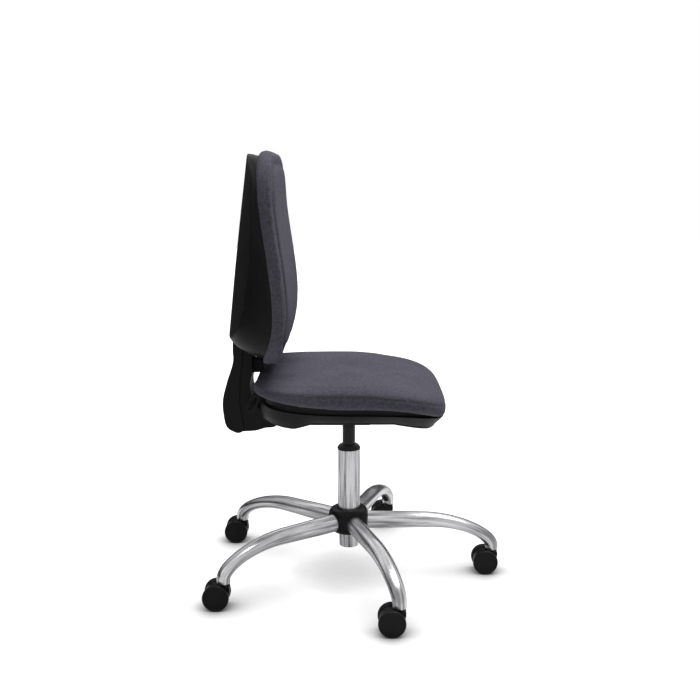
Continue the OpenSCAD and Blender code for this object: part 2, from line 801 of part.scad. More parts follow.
module seat_shell() {
    lever_slot = [60, 16, 30];
    boss_foot_z = pan_z + pan_wall / 2;
    color("#1e1e1f") at_column() difference() {
        union() {
            difference() {
                ring_solid([
                    pan_floor_ring(pan_level_in, 0),
                    pan_floor_ring(grown(pan_floor_in, pan_fold), 0),
                    pan_floor_ring(pan_floor_in, pan_fold_h),
                    pan_ring(pan_side_in, pan_step_share, 0),
                    pan_ring(pan_step_in, pan_step_share, pan_wall / 4),
                    pan_ring(pan_step_in, 1, -seat_gap)
                ]);
                ring_solid([
                    pan_floor_ring(pan_level_in, pan_wall),
                    pan_floor_ring(grown(pan_floor_in, pan_fold + pan_wall), pan_wall),
                    pan_ring(grown(pan_side_in, 2 * pan_wall), pan_step_share, -pan_wall),
                    pan_ring(grown(pan_step_in, pan_wall), pan_step_share, 0),
                    pan_ring(grown(pan_step_in, pan_wall), 1, overrun)
                ]);
            }
            at_bolts() translate([0, 0, boss_foot_z]) cylinder(d = boss_d, h = boss_top_z - boss_foot_z);
            at_arm_holes() translate([0, 0, boss_foot_z]) cylinder(d = boss_d, h = boss_top_z - boss_foot_z);
        }
        at_bolts() translate([0, 0, pan_z - overrun])
            cylinder(r = bolt_d / 2 + bolt_gap, h = boss_top_z - pan_z + 2 * overrun);
        at_arm_holes() translate([0, 0, pan_z - overrun])
            cylinder(d = arm_hole_d, h = boss_top_z - pan_z + 2 * overrun);
        translate([seat_mid_x - seat_len / 2, back_lever_y, back_lever_z - back_lever_w / 4])
            translate([0, -lever_slot[1] / 2, 0]) cube(lever_slot);
    }
}

module seat_board() {
    board_in = [62, 50];
    color("burlywood") at_column() difference() {
        translate([0, 0, board_z]) linear_extrude(seat_board_t)
            polygon([for (turn = turns(seat_points)) seat_xy(board_in, turn)]);
        at_bolts() translate([0, 0, board_z - overrun])
            cylinder(r = bolt_d / 2 + bolt_gap, h = seat_board_t + 2 * overrun);
        at_arm_holes() translate([0, 0, board_z - overrun])
            cylinder(d = arm_hole_d, h = seat_board_t + 2 * overrun);
    }
}

// Tilt: the bar's eye turns on a pin, and two coils round the pin push it upright
bush_t = 1.5;
eye_r = 12;
bar_x = -226;
bar_top_z = 740;
bar_bend_r = 40;
spring_pin_x = -138;
spring_pin_d = 4;
wire_r = 1.2;
coil_pitch = 3.2;

module pivot_pin() {
    head_t = 2;
    color("silver") at_column() at_pivot() {
        cylinder(d = pivot_d, h = mech_w + 2 * fit_gap, center = true);
        for (side = [-1, 1]) translate([0, 0, side * (mech_w + head_t + 2 * fit_gap) / 2])
            cylinder(r = pivot_d / 2 + head_t, h = head_t, center = true);
    }
}

module pivot_bushes() {
    sleeve_len = 12;
    flange_t = 1;
    color("#303031") at_column() for (side = [-1, 1]) at_pivot() difference() {
        union() {
            translate([0, 0, side * (bar_w + flange_t + 2 * fit_gap) / 2])
                cylinder(r = eye_r, h = flange_t, center = true);
            translate([0, 0, side * (bar_w - sleeve_len + 2 * fit_gap) / 2])
                cylinder(r = pivot_d / 2 + bush_t - fit_gap, h = sleeve_len, center = true);
        }
        cylinder(r = pivot_d / 2 + fit_gap, h = mech_w, center = true);
    }
}

module spring_pin() {
    pin_len = mech_w - 6 * mech_wall;
    color("silver") at_column() translate([spring_pin_x, 0, pivot_z]) rotate([90, 0, 0])
        cylinder(d = spring_pin_d, h = pin_len, center = true);
}

// Wire path of one coil: a front leg on the floor, full turns, a rear leg under the pin
coil_turns = 4;
coil_steps = 8;
coil_wire_sides = 6;
coil_r = pivot_d / 2 + bush_t + wire_r + seat_gap;
coil_in_y = bar_w / 2 + 4 * wire_r;
function coil_path() =
    let (
        floor_z = mech_z + mech_wall + wire_r + seat_gap,
        foot_x = lerp(pivot_x, 0, 0.35),
        pin_z = pivot_z - spring_pin_d / 2 - wire_r - fit_gap,
        out_y = coil_in_y + coil_turns * coil_pitch
    )
        concat(
            [[foot_x, out_y, floor_z]],
            [[lerp(foot_x, pivot_x, 0.5), out_y, lerp(floor_z, pivot_z - coil_r, 0.5)]],
            [for (i = [0:coil_turns * coil_steps])
                let (turn = 360 * i / coil_steps)
                    [pivot_x - coil_r * sin(turn), out_y - coil_pitch * i / coil_steps,
                        pivot_z - coil_r * cos(turn)]],
            [[spring_pin_x, coil_in_y, pin_z], [lerp(spring_pin_x, pivot_x, -0.15), coil_in_y, pin_z]]
        );
function wire_ring(path, i) =
    let (
        ahead = unit(path[min(len(path) - 1, i + 1)] - path[max(0, i - 1)]),
        out = unit(cross(ahead, [0, 1, 0])),
        side = cross(out, ahead)
    )
        [for (turn = turns(coil_wire_sides)) path[i] + wire_r * (cos(turn) * out + sin(turn) * side)];
coil_points = coil_path();
coil_near = [
    for (i = [0:len(coil_points) - 1], j = [i + coil_steps / 2 + 1:1:len(coil_points) - 1])
        norm(coil_points[i] - coil_points[j]) - 2 * wire_r
];
echo(least_spring_gap = min(coil_near));

module tilt_springs() {
    rings = [for (i = [0:len(coil_points) - 1]) wire_ring(coil_points, i)];
    color("gray") at_column() {
        ring_solid(rings);
        mirror([0, 1, 0]) ring_solid(rings);
    }
}

// Side profile of the back bar: a level arm, a quarter bend and an upright
module bar_profile() {
    bend_x = bar_x + bar_t / 2 + bar_bend_r;
    bend_z = pivot_z + bar_t / 2 + bar_bend_r;
    outer_r = bar_bend_r + bar_t;
    translate([bend_x, pivot_z - bar_t / 2]) square([pivot_x - bend_x, bar_t]);
    translate([bar_x - bar_t / 2, bend_z]) square([bar_t, bar_top_z - bend_z]);
    translate([bend_x, bend_z]) intersection() {
        difference() {
            circle(r = outer_r);
            circle(r = bar_bend_r);
        }
        translate([-outer_r, -outer_r]) square([outer_r, outer_r]);
    }
}

module back_bar() {
    notch_count = 7;
    notch_pitch = 10;
    notch_w = 16;
    color("#2b2b2c") at_column() difference() {
        union() {
            across(bar_w) bar_profile();
            at_pivot() cylinder(r = eye_r, h = bar_w, center = true);
        }
        at_pivot() cylinder(r = pivot_d / 2 + bush_t, h = bar_w + 2 * overrun, center = true);
        translate([spring_pin_x, 0, pivot_z]) rotate([90, 0, 0])
            cylinder(d = spring_pin_d + fit_gap, h = bar_w + 2 * overrun, center = true);
        for (i = [0:notch_count - 1])
            translate([bar_x - bar_t, -notch_w / 2, carriage_z + i * notch_pitch])
                cube([2 * bar_t, notch_w, notch_pitch * 0.4]);
    }
}

// Upright covers: two moulded shells, split along the side, with ribs that hug the bar
cover_reach = 50;
cover_rise = 100;
cover_top_z = 640;
cover_wall = 2.5;
cover_front_in = 3;
cover_top_share = (cover_top_z - pivot_z) / cover_rise;
cover_rear_shares = [
    [-0.16, cover_top_share], [-0.4, 1.67], [-0.4, 1.27], [-0.66, 0.86], [-0.87, 0.45],
    [-0.86, 0.12], [-0.72, -0.17], [-0.3, -0.295], [-0.06, -0.27]
];
cover_split_shares = [
    [-0.06, -0.27], [-0.02, -0.1], [-0.16, 0.35], [-0.12, 0.9], [0, 1.4], [0, cover_top_share]
];
cover_front_shares = [
    [-0.06, -0.27], [0.26, -0.26], [0.56, -0.245], [0.92, -0.19], [1.3, -0.17], [1.44, -0.08],
    [1.4, 0.08], [0.92, 0.165], [0.56, 0.29], [0.36, 0.49], [0.28, 0.77], [0.38, 1],
    [0.38, 1.4], [0.34, cover_top_share]
];
function cover_line(shares) = smooth(
    [for (p = shares) [bar_x + p[0] * cover_reach, pivot_z + p[1] * cover_rise]], 3);

// Hollow of both covers, cut into bays by the ribs that the screws run through
cover_rib_t = 8;
cover_rib_shares = [0.3, 0.85, 1.45, 2.5];

module cover_inside() {
    bay_w = cover_w - 2 * cover_wall - 2 * cover_front_in;
    shares = concat([-1], cover_rib_shares, [cover_top_share + 1]);
    for (i = [0:len(shares) - 2])
        across(bay_w) intersection() {
            offset(delta = -cover_wall)
                polygon(concat(cover_line(cover_rear_shares), cover_line(cover_front_shares)));
            translate([bar_x - 2 * cover_reach, pivot_z + shares[i] * cover_rise + cover_rib_t / 2])
                square([5 * cover_reach, (shares[i + 1] - shares[i]) * cover_rise - cover_rib_t]);
        }
}

module at_cover_screws() {
    screw_out = 8;
    screw_y = bar_w / 2 + screw_out;
    for (share = [cover_rib_shares[2], cover_rib_shares[3]], side = [-1, 1])
        translate([bar_x, side * screw_y, pivot_z + share * cover_rise]) rotate([0, 90, 0]) children();
}

module bar_space() {
    across(bar_w + 2 * seat_gap) offset(delta = seat_gap) bar_profile();
}

cover_screw_d = 4;

module upright_cover_rear() {
    outline = concat(cover_line(cover_rear_shares), cover_line(cover_split_shares));
    color("#1b1b1c") at_column() difference() {
        across(cover_w) polygon(outline);
        cover_inside();
        bar_space();
        at_cover_screws() cylinder(d = cover_screw_d + fit_gap, h = cover_reach * 0.6, center = true);
    }
}

// The front shell has a grip below the back and reaches forward into the mechanism
module upright_cover_front() {
    front_w = cover_w - 2 * cover_front_in;
    grip_size = [24, 40, 28];
    grip_z = 461;
    front_x = bar_x + 0.36 * cover_reach;
    outline = concat(cover_line(cover_split_shares), reversed(cover_line(cover_front_shares)));
    grip_shares = [[-0.1, 0], [0.7, 0.04], [1, 0.3], [1, 0.7], [0.75, 1], [-0.1, 1]];
    color("#232324") at_column() difference() {
        union() {
            translate([seat_gap, 0, 0]) across(front_w) polygon(outline);
            translate([front_x, 0, grip_z]) across(grip_size[1])
                polygon([for (p = grip_shares) [p[0] * grip_size[0], p[1] * grip_size[2]]]);
        }
        cover_inside();
        bar_space();
        at_cover_screws() {
            cylinder(d = cover_screw_d + fit_gap, h = cover_reach);
            translate([0, 0, cover_reach * 0.27]) cylinder(d = 2 * cover_screw_d + fit_gap, h = cover_reach);
        }
    }
}

module cover_screws() {
    color("gray") at_column() at_cover_screws() {
        translate([0, 0, -cover_reach * 0.22]) cylinder(d = cover_screw_d, h = cover_reach * 0.5);
        translate([0, 0, cover_reach * 0.27 + fit_gap])
            cylinder(d = 2 * cover_screw_d, h = cover_screw_d / 2);
    }
}

// Back: the fabric's rear line swells forward at the lumbar, the shell's rear leans forward
lumbar_depth = 24.5;
lumbar_share = 0.24;
lumbar_end_share = 0.86;
back_edge_x = -173;
back_low_z = back_mid_z - back_h / 2;
back_points = 60;
back_power = 5;
back_round = 25;
rear_low_x = -256;
rear_lean = 50;
rear_swell = 3;
rear_ridge_in = 44;
rear_low_in = 42;
rear_high_in = 4;
plan_bow = 40;
bow_shares = [
    [0, 0.66], [0.1, 0.8], [0.28, 1.08], [0.5, 1.06], [0.63, 1], [0.8, 0.8], [0.95, 0.56], [1, 0.5]
];
pad_gap = 0.7;
shell_in = 6;
shell_foot = 6;
function back_share(z) = (z - back_low_z) / back_h;
function lumbar(t) =
    t < lumbar_share ? max(0, cos(90 * (lumbar_share - t) / lumbar_share))
        : t > lumbar_end_share ? 0
        : (1 + cos(180 * (t - lumbar_share) / (lumbar_end_share - lumbar_share))) / 2;
function edge_x(z) = back_edge_x + lumbar_depth * lumbar(back_share(z));
function rear_x(z) =
    let (t = back_share(z)) rear_low_x + rear_lean * max(0, t - 0.07) - rear_swell * sin(180 * t);
function back_half_w(z) = (back_w - back_taper * pow(max(0, back_share(z)), 1.5)) / 2;
function back_yz(inset, turn) =
    let (z = back_mid_z + oval_y(back_h / 2 - inset, back_power, turn))
        [oval_x(back_half_w(z) - inset, back_power, turn), z];
// Ring at a share of the pad's thickness in front of the fabric's rear line
function back_ring(inset, share, lift) = [
    for (turn = turns(back_points))
        let (p = back_yz(inset, turn)) [edge_x(p[1]) + back_pad_t * share + lift, p[0], p[1]]
];
// Ring of the shell's rear face at a share of the way from its middle to its ridge
function rear_ring(share, inset, lift) = [
    for (turn = turns(back_points))
        let (
            low = back_low_z + rear_low_in + inset,
            high = back_low_z + back_h - rear_high_in - inset,
            z = (low + high) / 2 + share * oval_y((high - low) / 2, back_power, turn),
            half = back_half_w(z) - rear_ridge_in - inset,
            y = share * oval_x(half, back_power, turn)
        )
            [rear_x(z) + lift + plan_bow * lookup(back_share(z), bow_shares) * pow(y / half, 2), y, z]
];

// Space behind the fabric's rear line, moved along X
module behind_edge(lift) {
    steps = 20;
    deep = 4 * back_board_t;
    over = back_h / 2 + seat_gap + overrun;
    line = [for (i = [0:steps]) let (z = back_mid_z + over * (2 * i / steps - 1)) [edge_x(z) + lift, z]];
    across(2 * back_w) polygon(concat(line, [
        [back_edge_x - deep, back_mid_z + over],
        [back_edge_x - deep, back_mid_z - over]
    ]));
}

module back_cushion() {
    // Inset as a share of the rounding, then place as a share of the thickness
    profile_shares = [
        [0.32, 0], [0.04, 0.22], [0, 0.5], [0.2, 0.82], [0.6, 0.97], [0.92, 0.94],
        [1.04, 0.86], [1.2, 0.97], [1.6, 1.01], [2.6, 1.03], [5, 1.04], [7, 1.04]
    ];
    rear_shares = [7.2, 5.6, 4.4, 3.3, 2.2, 1.2];
    color("#63626e") at_column() ring_solid(concat(
        [for (share = rear_shares) back_ring(share * back_round, 0, seat_gap)],
        [for (p = profile_shares) back_ring(p[0] * back_round, p[1], 0)]
    ));
}

module back_board() {
    board_in = shell_in + 7 * shell_wall;
    board_points = 32;
    color("burlywood") at_column() difference() {
        intersection() {
            translate([back_edge_x - 3 * back_board_t, 0, 0]) rotate([90, 0, 90])
                linear_extrude(back_w) polygon([for (turn = turns(board_points)) back_yz(board_in, turn)]);
            behind_edge(-pad_gap);
        }
        behind_edge(-pad_gap - back_board_t);
        at_carriage_screws()
            cylinder(r = carriage_screw_d / 2 + bolt_gap, h = carriage_flange_t * 5.4, center = true);
    }
}

module back_shell() {
    slot_gap = 2.5;
    slot_rear_x = -250;
    slot_front_x = -203;
    slot_h = 67;
    boss_r = 6;
    boss_y = 110;
    boss_shares = [0.24, 0.8];
    rim_in = shell_in + shell_wall;
    color("#1c1c1d") at_column() difference() {
        union() {
            difference() {
                ring_solid([
                    rear_ring(0.12, 0, 0), rear_ring(0.35, 0, 0), rear_ring(0.6, 0, 0),
                    rear_ring(0.82, 0, 0), rear_ring(1, 0, 0),
                    back_ring(shell_in * 1.3, 0, -shell_foot), back_ring(shell_in, 0, -seat_gap)
                ]);
                ring_solid([
                    rear_ring(0.12, 0, shell_wall), rear_ring(0.35, 0, shell_wall),
                    rear_ring(0.6, 0, shell_wall), rear_ring(0.82, 0, shell_wall),
                    rear_ring(1, shell_wall, shell_wall),
                    back_ring(rim_in * 1.2, 0, -shell_foot), back_ring(rim_in, 0, overrun)
                ]);
            }
            for (share = boss_shares, side = [-1, 1])
                let (
                    z = back_low_z + share * back_h,
                    out = boss_y / (back_half_w(z) - rear_ridge_in),
                    bow = plan_bow * lookup(share, bow_shares) * out * out,
                    foot_x = rear_x(z) + bow + shell_wall / 2
                )
                    translate([foot_x, side * boss_y, z]) rotate([0, 90, 0])
                        cylinder(r = boss_r, h = edge_x(z) - back_board_t - 2 * pad_gap - foot_x);
        }
        translate([slot_rear_x, -cover_w / 2 - slot_gap, back_low_z - overrun])
            cube([slot_front_x - slot_rear_x, cover_w + 2 * slot_gap, slot_h]);
    }
}

carriage_z = 645;
carriage_h = 54;
carriage_w = 76;
carriage_wall = 3.5;
carriage_front_x = -212;
carriage_rib_w = 10;
carriage_flange_t = 5;
carriage_flange_w = 20;
carriage_screw_d = 5;
carriage_back_x = edge_x(carriage_z + carriage_h) - back_board_t - pad_gap - carriage_flange_t;

// Flat seats for the screws on the carriage's two flanges
module at_carriage_screws() {
    for (share = [0.2, 0.8], side = [-1, 1])
        translate([
            carriage_back_x,
            side * (carriage_w + carriage_flange_w) / 2,
            carriage_z + share * carriage_h
        ]) rotate([0, 90, 0]) children();
}

// The carriage slides on the bar, and two ribs with flanges carry the back board
module height_carriage() {
    rear_x = bar_x - bar_t / 2 - seat_gap - carriage_wall;
    block = [carriage_front_x - rear_x, carriage_w, carriage_h];
    flange_reach = 2 * carriage_flange_t + back_board_t;
    flange_w = carriage_flange_w + carriage_rib_w / 2;
    color("#2a2a2b") at_column() difference() {
        union() {
            translate([rear_x, -carriage_w / 2, carriage_z]) cube(block);
            for (side = [0, 1]) mirror([0, side, 0]) {
                translate([carriage_front_x - overrun, carriage_w / 2 - carriage_rib_w, carriage_z])
                    cube([carriage_back_x + flange_reach - carriage_front_x, carriage_rib_w, carriage_h]);
                translate([carriage_back_x, carriage_w / 2 - carriage_rib_w / 2, carriage_z])
                    cube([flange_reach, flange_w, carriage_h]);
            }
        }
        translate([bar_x - bar_t / 2 - seat_gap, -bar_w / 2 - seat_gap, carriage_z - overrun])
            cube([bar_t + 2 * seat_gap, bar_w + 2 * seat_gap, carriage_h + 2 * overrun]);
        difference() {
            translate([carriage_back_x, -back_w / 2, carriage_z - overrun])
                cube([2 * flange_reach, back_w, carriage_h + 2 * overrun]);
            behind_edge(-pad_gap - back_board_t - fit_gap);
        }
        at_carriage_screws() cylinder(d = carriage_screw_d + fit_gap, h = 2 * flange_reach);
    }
}

module carriage_screws() {
    head_h = 3;
    color("silver") at_column() at_carriage_screws() {
        translate([0, 0, -head_h - fit_gap]) cylinder(d = 2 * carriage_screw_d, h = head_h);
        translate([0, 0, -fit_gap]) cylinder(d = carriage_screw_d, h = 2.6 * carriage_flange_t);
    }
}

base_hub();
leg(1);  // leg_1
leg(2);  // leg_2
leg(3);  // leg_3
leg(4);  // leg_4
leg(5);  // leg_5
stem_sockets();
column_tube();
column_bush();
thrust_bearing();
rod_clip();
caster_stem(1);  // caster_stem_1
caster_stem(2);  // caster_stem_2
caster_stem(3);  // caster_stem_3
caster_stem(4);  // caster_stem_4
caster_stem(5);  // caster_stem_5
caster_hood(1);  // caster_hood_1
caster_hood(2);  // caster_hood_2
caster_hood(3);  // caster_hood_3
caster_hood(4);  // caster_hood_4
caster_hood(5);  // caster_hood_5
caster_wheels(1);  // caster_wheels_1
caster_wheels(2);  // caster_wheels_2
caster_wheels(3);  // caster_wheels_3
caster_wheels(4);  // caster_wheels_4
caster_wheels(5);  // caster_wheels_5
caster_axle(1);  // caster_axle_1
caster_axle(2);  // caster_axle_2
caster_axle(3);  // caster_axle_3
caster_axle(4);  // caster_axle_4
caster_axle(5);  // caster_axle_5
piston_rod();
gas_cylinder();
valve_pin();
mechanism_housing();
taper_socket();
mechanism_plate();
seat_bolts();
height_lever();
back_lever();
lever_block();
seat_shell();
seat_board();
seat_cushion();
pivot_pin();
pivot_bushes();
spring_pin();
tilt_springs();
back_bar();
upright_cover_rear();
upright_cover_front();
cover_screws();
height_carriage();
carriage_screws();
back_board();
back_shell();
back_cushion();
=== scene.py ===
"""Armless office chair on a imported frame: upholstery, mouldings, chrome base and stage."""

import json
import math

import bmesh
import bpy
import numpy as np
from bpy.props import FloatProperty, FloatVectorProperty, IntProperty, PointerProperty
from bpy.types import Operator, Panel, PropertyGroup
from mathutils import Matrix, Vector
from mathutils.bvhtree import BVHTree


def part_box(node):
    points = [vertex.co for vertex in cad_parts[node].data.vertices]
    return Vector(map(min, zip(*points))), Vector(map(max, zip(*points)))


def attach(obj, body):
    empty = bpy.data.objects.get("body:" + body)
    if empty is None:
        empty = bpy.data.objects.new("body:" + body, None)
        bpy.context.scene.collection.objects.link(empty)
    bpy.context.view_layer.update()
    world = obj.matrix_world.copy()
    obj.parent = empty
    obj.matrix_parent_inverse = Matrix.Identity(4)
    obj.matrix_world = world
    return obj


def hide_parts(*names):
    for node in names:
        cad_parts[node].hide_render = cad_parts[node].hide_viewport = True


bl_info = {
    "name": "Armless Office Chair",
    "version": (1, 0, 0),
    "blender": (4, 5, 0),
    "location": "View3D > Sidebar > Chair",
    "description": "Dresses the frame of an armless office chair and sets its studio",
    "category": "Object",
}

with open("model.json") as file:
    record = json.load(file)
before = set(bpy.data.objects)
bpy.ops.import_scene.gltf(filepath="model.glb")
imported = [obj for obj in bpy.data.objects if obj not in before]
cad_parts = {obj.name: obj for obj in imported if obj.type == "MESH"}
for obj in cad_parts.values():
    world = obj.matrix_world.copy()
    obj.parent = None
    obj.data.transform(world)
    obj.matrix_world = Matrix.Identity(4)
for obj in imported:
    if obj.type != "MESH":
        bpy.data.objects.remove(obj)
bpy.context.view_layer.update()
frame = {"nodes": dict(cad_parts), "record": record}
NODES = frame["nodes"]
MM = 0.001


def middle(node):
    """Middle of a node's box, in metres."""
    low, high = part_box(node)
    return (low + high) / 2


def span(node):
    """Length, width and height of a node's box, in millimetres."""
    low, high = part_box(node)
    return (high - low) / MM


COLUMN_X = middle("column_tube").x / MM
SEAT_BOX = span("seat_cushion")
BACK_BOX = span("back_cushion")


# ---------------------------------------------------------------- numbers


def lerp(a, b, t):
    """a + (b - a) t."""
    return a + (b - a) * t


def smoothstep(low, high, x):
    """0 below low, 1 above high, 3t^2 - 2t^3 between."""
    t = np.clip((x - low) / (high - low), 0, 1)
    return t * t * (3 - 2 * t)


def linear(hex_colour):
    """sRGB hex colour as the linear RGBA that shaders take."""
    channels = np.array([int(hex_colour[i : i + 2], 16) for i in (1, 3, 5)]) / 255
    low = channels / 12.92
    high = ((channels + 0.055) / 1.055) ** 2.4
    return (*np.where(channels <= 0.04045, low, high).tolist(), 1.0)


def turns(count):
    """Evenly spaced angles round a full turn, starting half a step in."""
    return 2 * np.pi * (np.arange(count) + 0.5) / count


def oval(half_a, half_b, power, turn):
    """Superellipse of that power: each half times cos or sin, over (|cos|^p + |sin|^p)^(1/p)."""
    c, s = np.cos(turn), np.sin(turn)
    reach = (np.abs(c) ** power + np.abs(s) ** power) ** (-1 / power)
    return half_a * c * reach, half_b * s * reach


def oval_depth(x, y, half_a, half_b, power):
    """How far in from a superellipse's border a point lies, in millimetres, along its ray."""
    rho = (np.abs(x / half_a) ** power + np.abs(y / half_b) ** power) ** (1 / power)
    return (1 - rho) * np.hypot(x, y) / np.maximum(rho, 1e-6)


def through(points, steps=5):
    """Catmull-Rom curve through a list of points, with that many steps between two of them."""
    p = np.asarray(points, float)
    padded = np.vstack([p[:1], p, p[-1:]])
    t = (np.arange(steps) / steps)[None, :, None]
    a, b, c, d = (padded[i : i + len(p) - 1, None, :] for i in range(4))
    curve = 0.5 * (
        2 * b
        + (c - a) * t
        + (2 * a - 5 * b + 4 * c - d) * t**2
        + (3 * b - a - 3 * c + d) * t**3
    )
    return np.vstack([curve.reshape(-1, p.shape[1]), p[-1:]])


def rounded(corners, radius, steps):
    """Open profile whose inner corners are quadratic arcs, cut back by radius or half a side."""
    p = np.asarray(corners, float)
    radii = np.broadcast_to(radius, len(p))
    out = [p[0]]
    for i in range(1, len(p) - 1):
        before, after = p[i - 1] - p[i], p[i + 1] - p[i]
        la, lb = np.linalg.norm(before), np.linalg.norm(after)
        cut = min(radii[i], 0.48 * la, 0.48 * lb)
        if cut < 1e-6:
            out.append(p[i])
            continue
        start, end = p[i] + before / la * cut, p[i] + after / lb * cut
        t = np.linspace(0, 1, steps + 1)[:, None]
        out.extend((1 - t) ** 2 * start + 2 * t * (1 - t) * p[i] + t**2 * end)
    out.append(p[-1])
    return np.array(out)


# ---------------------------------------------------------------- meshes


def grid_mesh(name, grids, sharp, ring=False):
    """One mesh from grids of points in metres, smooth but for its edges over sharp degrees.

    Each grid is rows by columns by 3, and its columns wrap. The rows of a ring wrap too, and other
    grids are closed by fans round the means of their two end rows. The faces are turned outward by
    the sign of the enclosed volume.
    """
    verts, faces, offset = [], [], 0
    for grid in grids:
        rows, cols, _ = grid.shape
        points = grid.reshape(-1, 3)
        i = np.arange(cols)
        j = (i + 1) % cols
        k = np.arange(rows if ring else rows - 1)[:, None]
        n, k = (k + 1) % rows * cols, k * cols
        parts = [np.stack([k + i, k + j, n + j, n + i], -1).reshape(-1, 4)]
        if not ring:
            last, pole = (rows - 1) * cols, np.full(cols, rows * cols)
            points = np.vstack([points, grid[0].mean(0), grid[-1].mean(0)])
            parts.append(np.stack([j, i, pole], -1))
            parts.append(np.stack([last + i, last + j, pole + 1], -1))
        tris = np.vstack([parts[0][:, [0, 1, 2]], parts[0][:, [0, 2, 3]], *parts[1:]])
        a, b, c = points[tris[:, 0]], points[tris[:, 1]], points[tris[:, 2]]
        if np.einsum("ij,ij->i", a, np.cross(b, c)).sum() < 0:
            parts = [part[:, ::-1] for part in parts]
        verts.append(points)
        for part in parts:
            faces.extend((part + offset).tolist())
        offset += len(points)
    mesh = bpy.data.meshes.new(name)
    mesh.from_pydata(np.vstack(verts).tolist(), [], faces)
    tidy_mesh(mesh, sharp)
    return mesh


def smooth(mesh, sharp):
    """Smooths a mesh but for its edges over that many degrees."""
    mesh.shade_smooth()
    mesh.set_sharp_from_angle(angle=math.radians(sharp))


def tidy_mesh(mesh, sharp):
    """Merges doubles at poles, drops faces without area and smooths all but the sharp edges."""
    bm = bmesh.new()
    bm.from_mesh(mesh)
    bmesh.ops.remove_doubles(bm, verts=bm.verts, dist=2e-6)
    bmesh.ops.dissolve_degenerate(bm, edges=bm.edges, dist=1e-6)
    bm.to_mesh(mesh)
    bm.free()
    mesh.validate()
    smooth(mesh, sharp)
    mesh.update()


def placed(name, data):
    """A new object in the scene."""
    made = bpy.data.objects.new(name, data)
    bpy.context.scene.collection.objects.link(made)
    return made


def evaluated(piece):
    """A piece as its modifiers leave it."""
    return piece.evaluated_get(bpy.context.evaluated_depsgraph_get())


def new_piece(name, mesh, body, slot, *nodes, surface=None):
    """Puts a mesh in the scene as a piece that rides on a body and stands for its CAD nodes.

    Its finish is its slot's, unless another surface is named.
    """
    piece = placed(name, mesh)
    mesh.materials.clear()
    mesh.materials.append(finish(surface or slot))
    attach(piece, body)
    if nodes:
        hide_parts(*nodes)
    return piece


def gathered(items, key, kind, width=1):
    """One value of each of a mesh's vertices, edges, faces or corners, as a flat array."""
    out = np.empty(len(items) * width, kind)
    items.foreach_get(key, out)
    return out


def coords(mesh):
    """A mesh's vertices as an array."""
    return gathered(mesh.vertices, "co", float, 3).reshape(-1, 3)


def set_coords(mesh, points):
    """Moves a mesh's vertices to an array of points."""
    mesh.vertices.foreach_set("co", np.ascontiguousarray(points, np.float32).ravel())
    mesh.update()


def normals(mesh):
    """A mesh's vertex normals as an array."""
    return gathered(mesh.vertex_normals, "vector", np.float32, 3).reshape(-1, 3).astype(float)


def from_column(mesh):
    """A mesh's vertices in millimetres from the column's axis."""
    return coords(mesh) / MM - [COLUMN_X, 0, 0]


def at_column(points):
    """Points in millimetres from the column's axis, in metres in the row's frame."""
    return (np.asarray(points, float) + [COLUMN_X, 0, 0]) * MM


def spun(profile, centre, axis="z", count=96):
    """A profile of (radius, height) pairs turned round an axis through centre, in millimetres."""
    p = np.asarray(profile, float)
    angle = turns(count)[None, :]
    r, h = p[:, :1], p[:, 1:] + 0 * angle
    a, b = r * np.cos(angle), r * np.sin(angle)
    grid = np.stack([a, b, h], -1) if axis == "z" else np.stack([a, h, b], -1)
    return (grid + np.asarray(centre, float)) * MM


def turned(grid, angle):
    """A grid of metres turned about the column's axis by an angle in radians."""
    c, s = math.cos(angle), math.sin(angle)
    centre = np.array([COLUMN_X * MM, 0, 0])
    q = grid - centre
    out = np.stack([q[..., 0] * c - q[..., 1] * s, q[..., 0] * s + q[..., 1] * c, q[..., 2]], -1)
    return out + centre


def face_corners(mesh):
    """Each face corner's vertex and face, and each face's number of corners and first corner."""
    vertex = gathered(mesh.loops, "vertex_index", np.int32)
    totals = gathered(mesh.polygons, "loop_total", np.int32)
    face = np.repeat(np.arange(len(totals)), totals)
    return vertex, face, totals, np.concatenate([[0], np.cumsum(totals)[:-1]])


def write_uv(mesh, name, across, along):
    """Writes each face corner's UV, in metres."""
    uv = np.stack([across, along], -1).astype(np.float32)
    mesh.uv_layers.new(name=name).data.foreach_set("uv", uv.ravel())


def tube(path, radius, count, up):
    """Round section carried along a path in metres: each ring lies across the path's direction."""
    p = np.asarray(path, float)
    along = np.gradient(p, axis=0)
    along /= np.linalg.norm(along, axis=1, keepdims=True)
    side = np.cross(along, np.asarray(up, float))
    side /= np.maximum(np.linalg.norm(side, axis=1, keepdims=True), 1e-9)
    over = np.cross(side, along)
    angle = turns(count)[None, :, None]
    r = np.broadcast_to(np.asarray(radius, float), len(p))[:, None, None]
    return p[:, None, :] + r * (np.cos(angle) * side[:, None, :] + np.sin(angle) * over[:, None, :])


def softened(node, name, width, body, slot, segments):
    """A copy of a CAD node with its edges rounded by width millimetres, shown in its place."""
    sharp = 35.0
    mesh = bpy.data.meshes.new(name)
    bm = bmesh.new()
    bm.from_mesh(NODES[node].data)
    bmesh.ops.remove_doubles(bm, verts=bm.verts, dist=3e-6)
    bmesh.ops.dissolve_limit(bm, angle_limit=math.radians(1.5), verts=bm.verts, edges=bm.edges)
    bm.to_mesh(mesh)
    bm.free()
    mesh.uv_layers.active = None
    smooth(mesh, sharp)
    edge = new_piece(name, mesh, body, slot, node).modifiers.new("Rounded edges", "BEVEL")
    edge.width = width * MM
    edge.segments = segments
    edge.limit_method = "ANGLE"
    edge.angle_limit = math.radians(sharp)
    edge.use_clamp_overlap = True
    edge.harden_normals = True


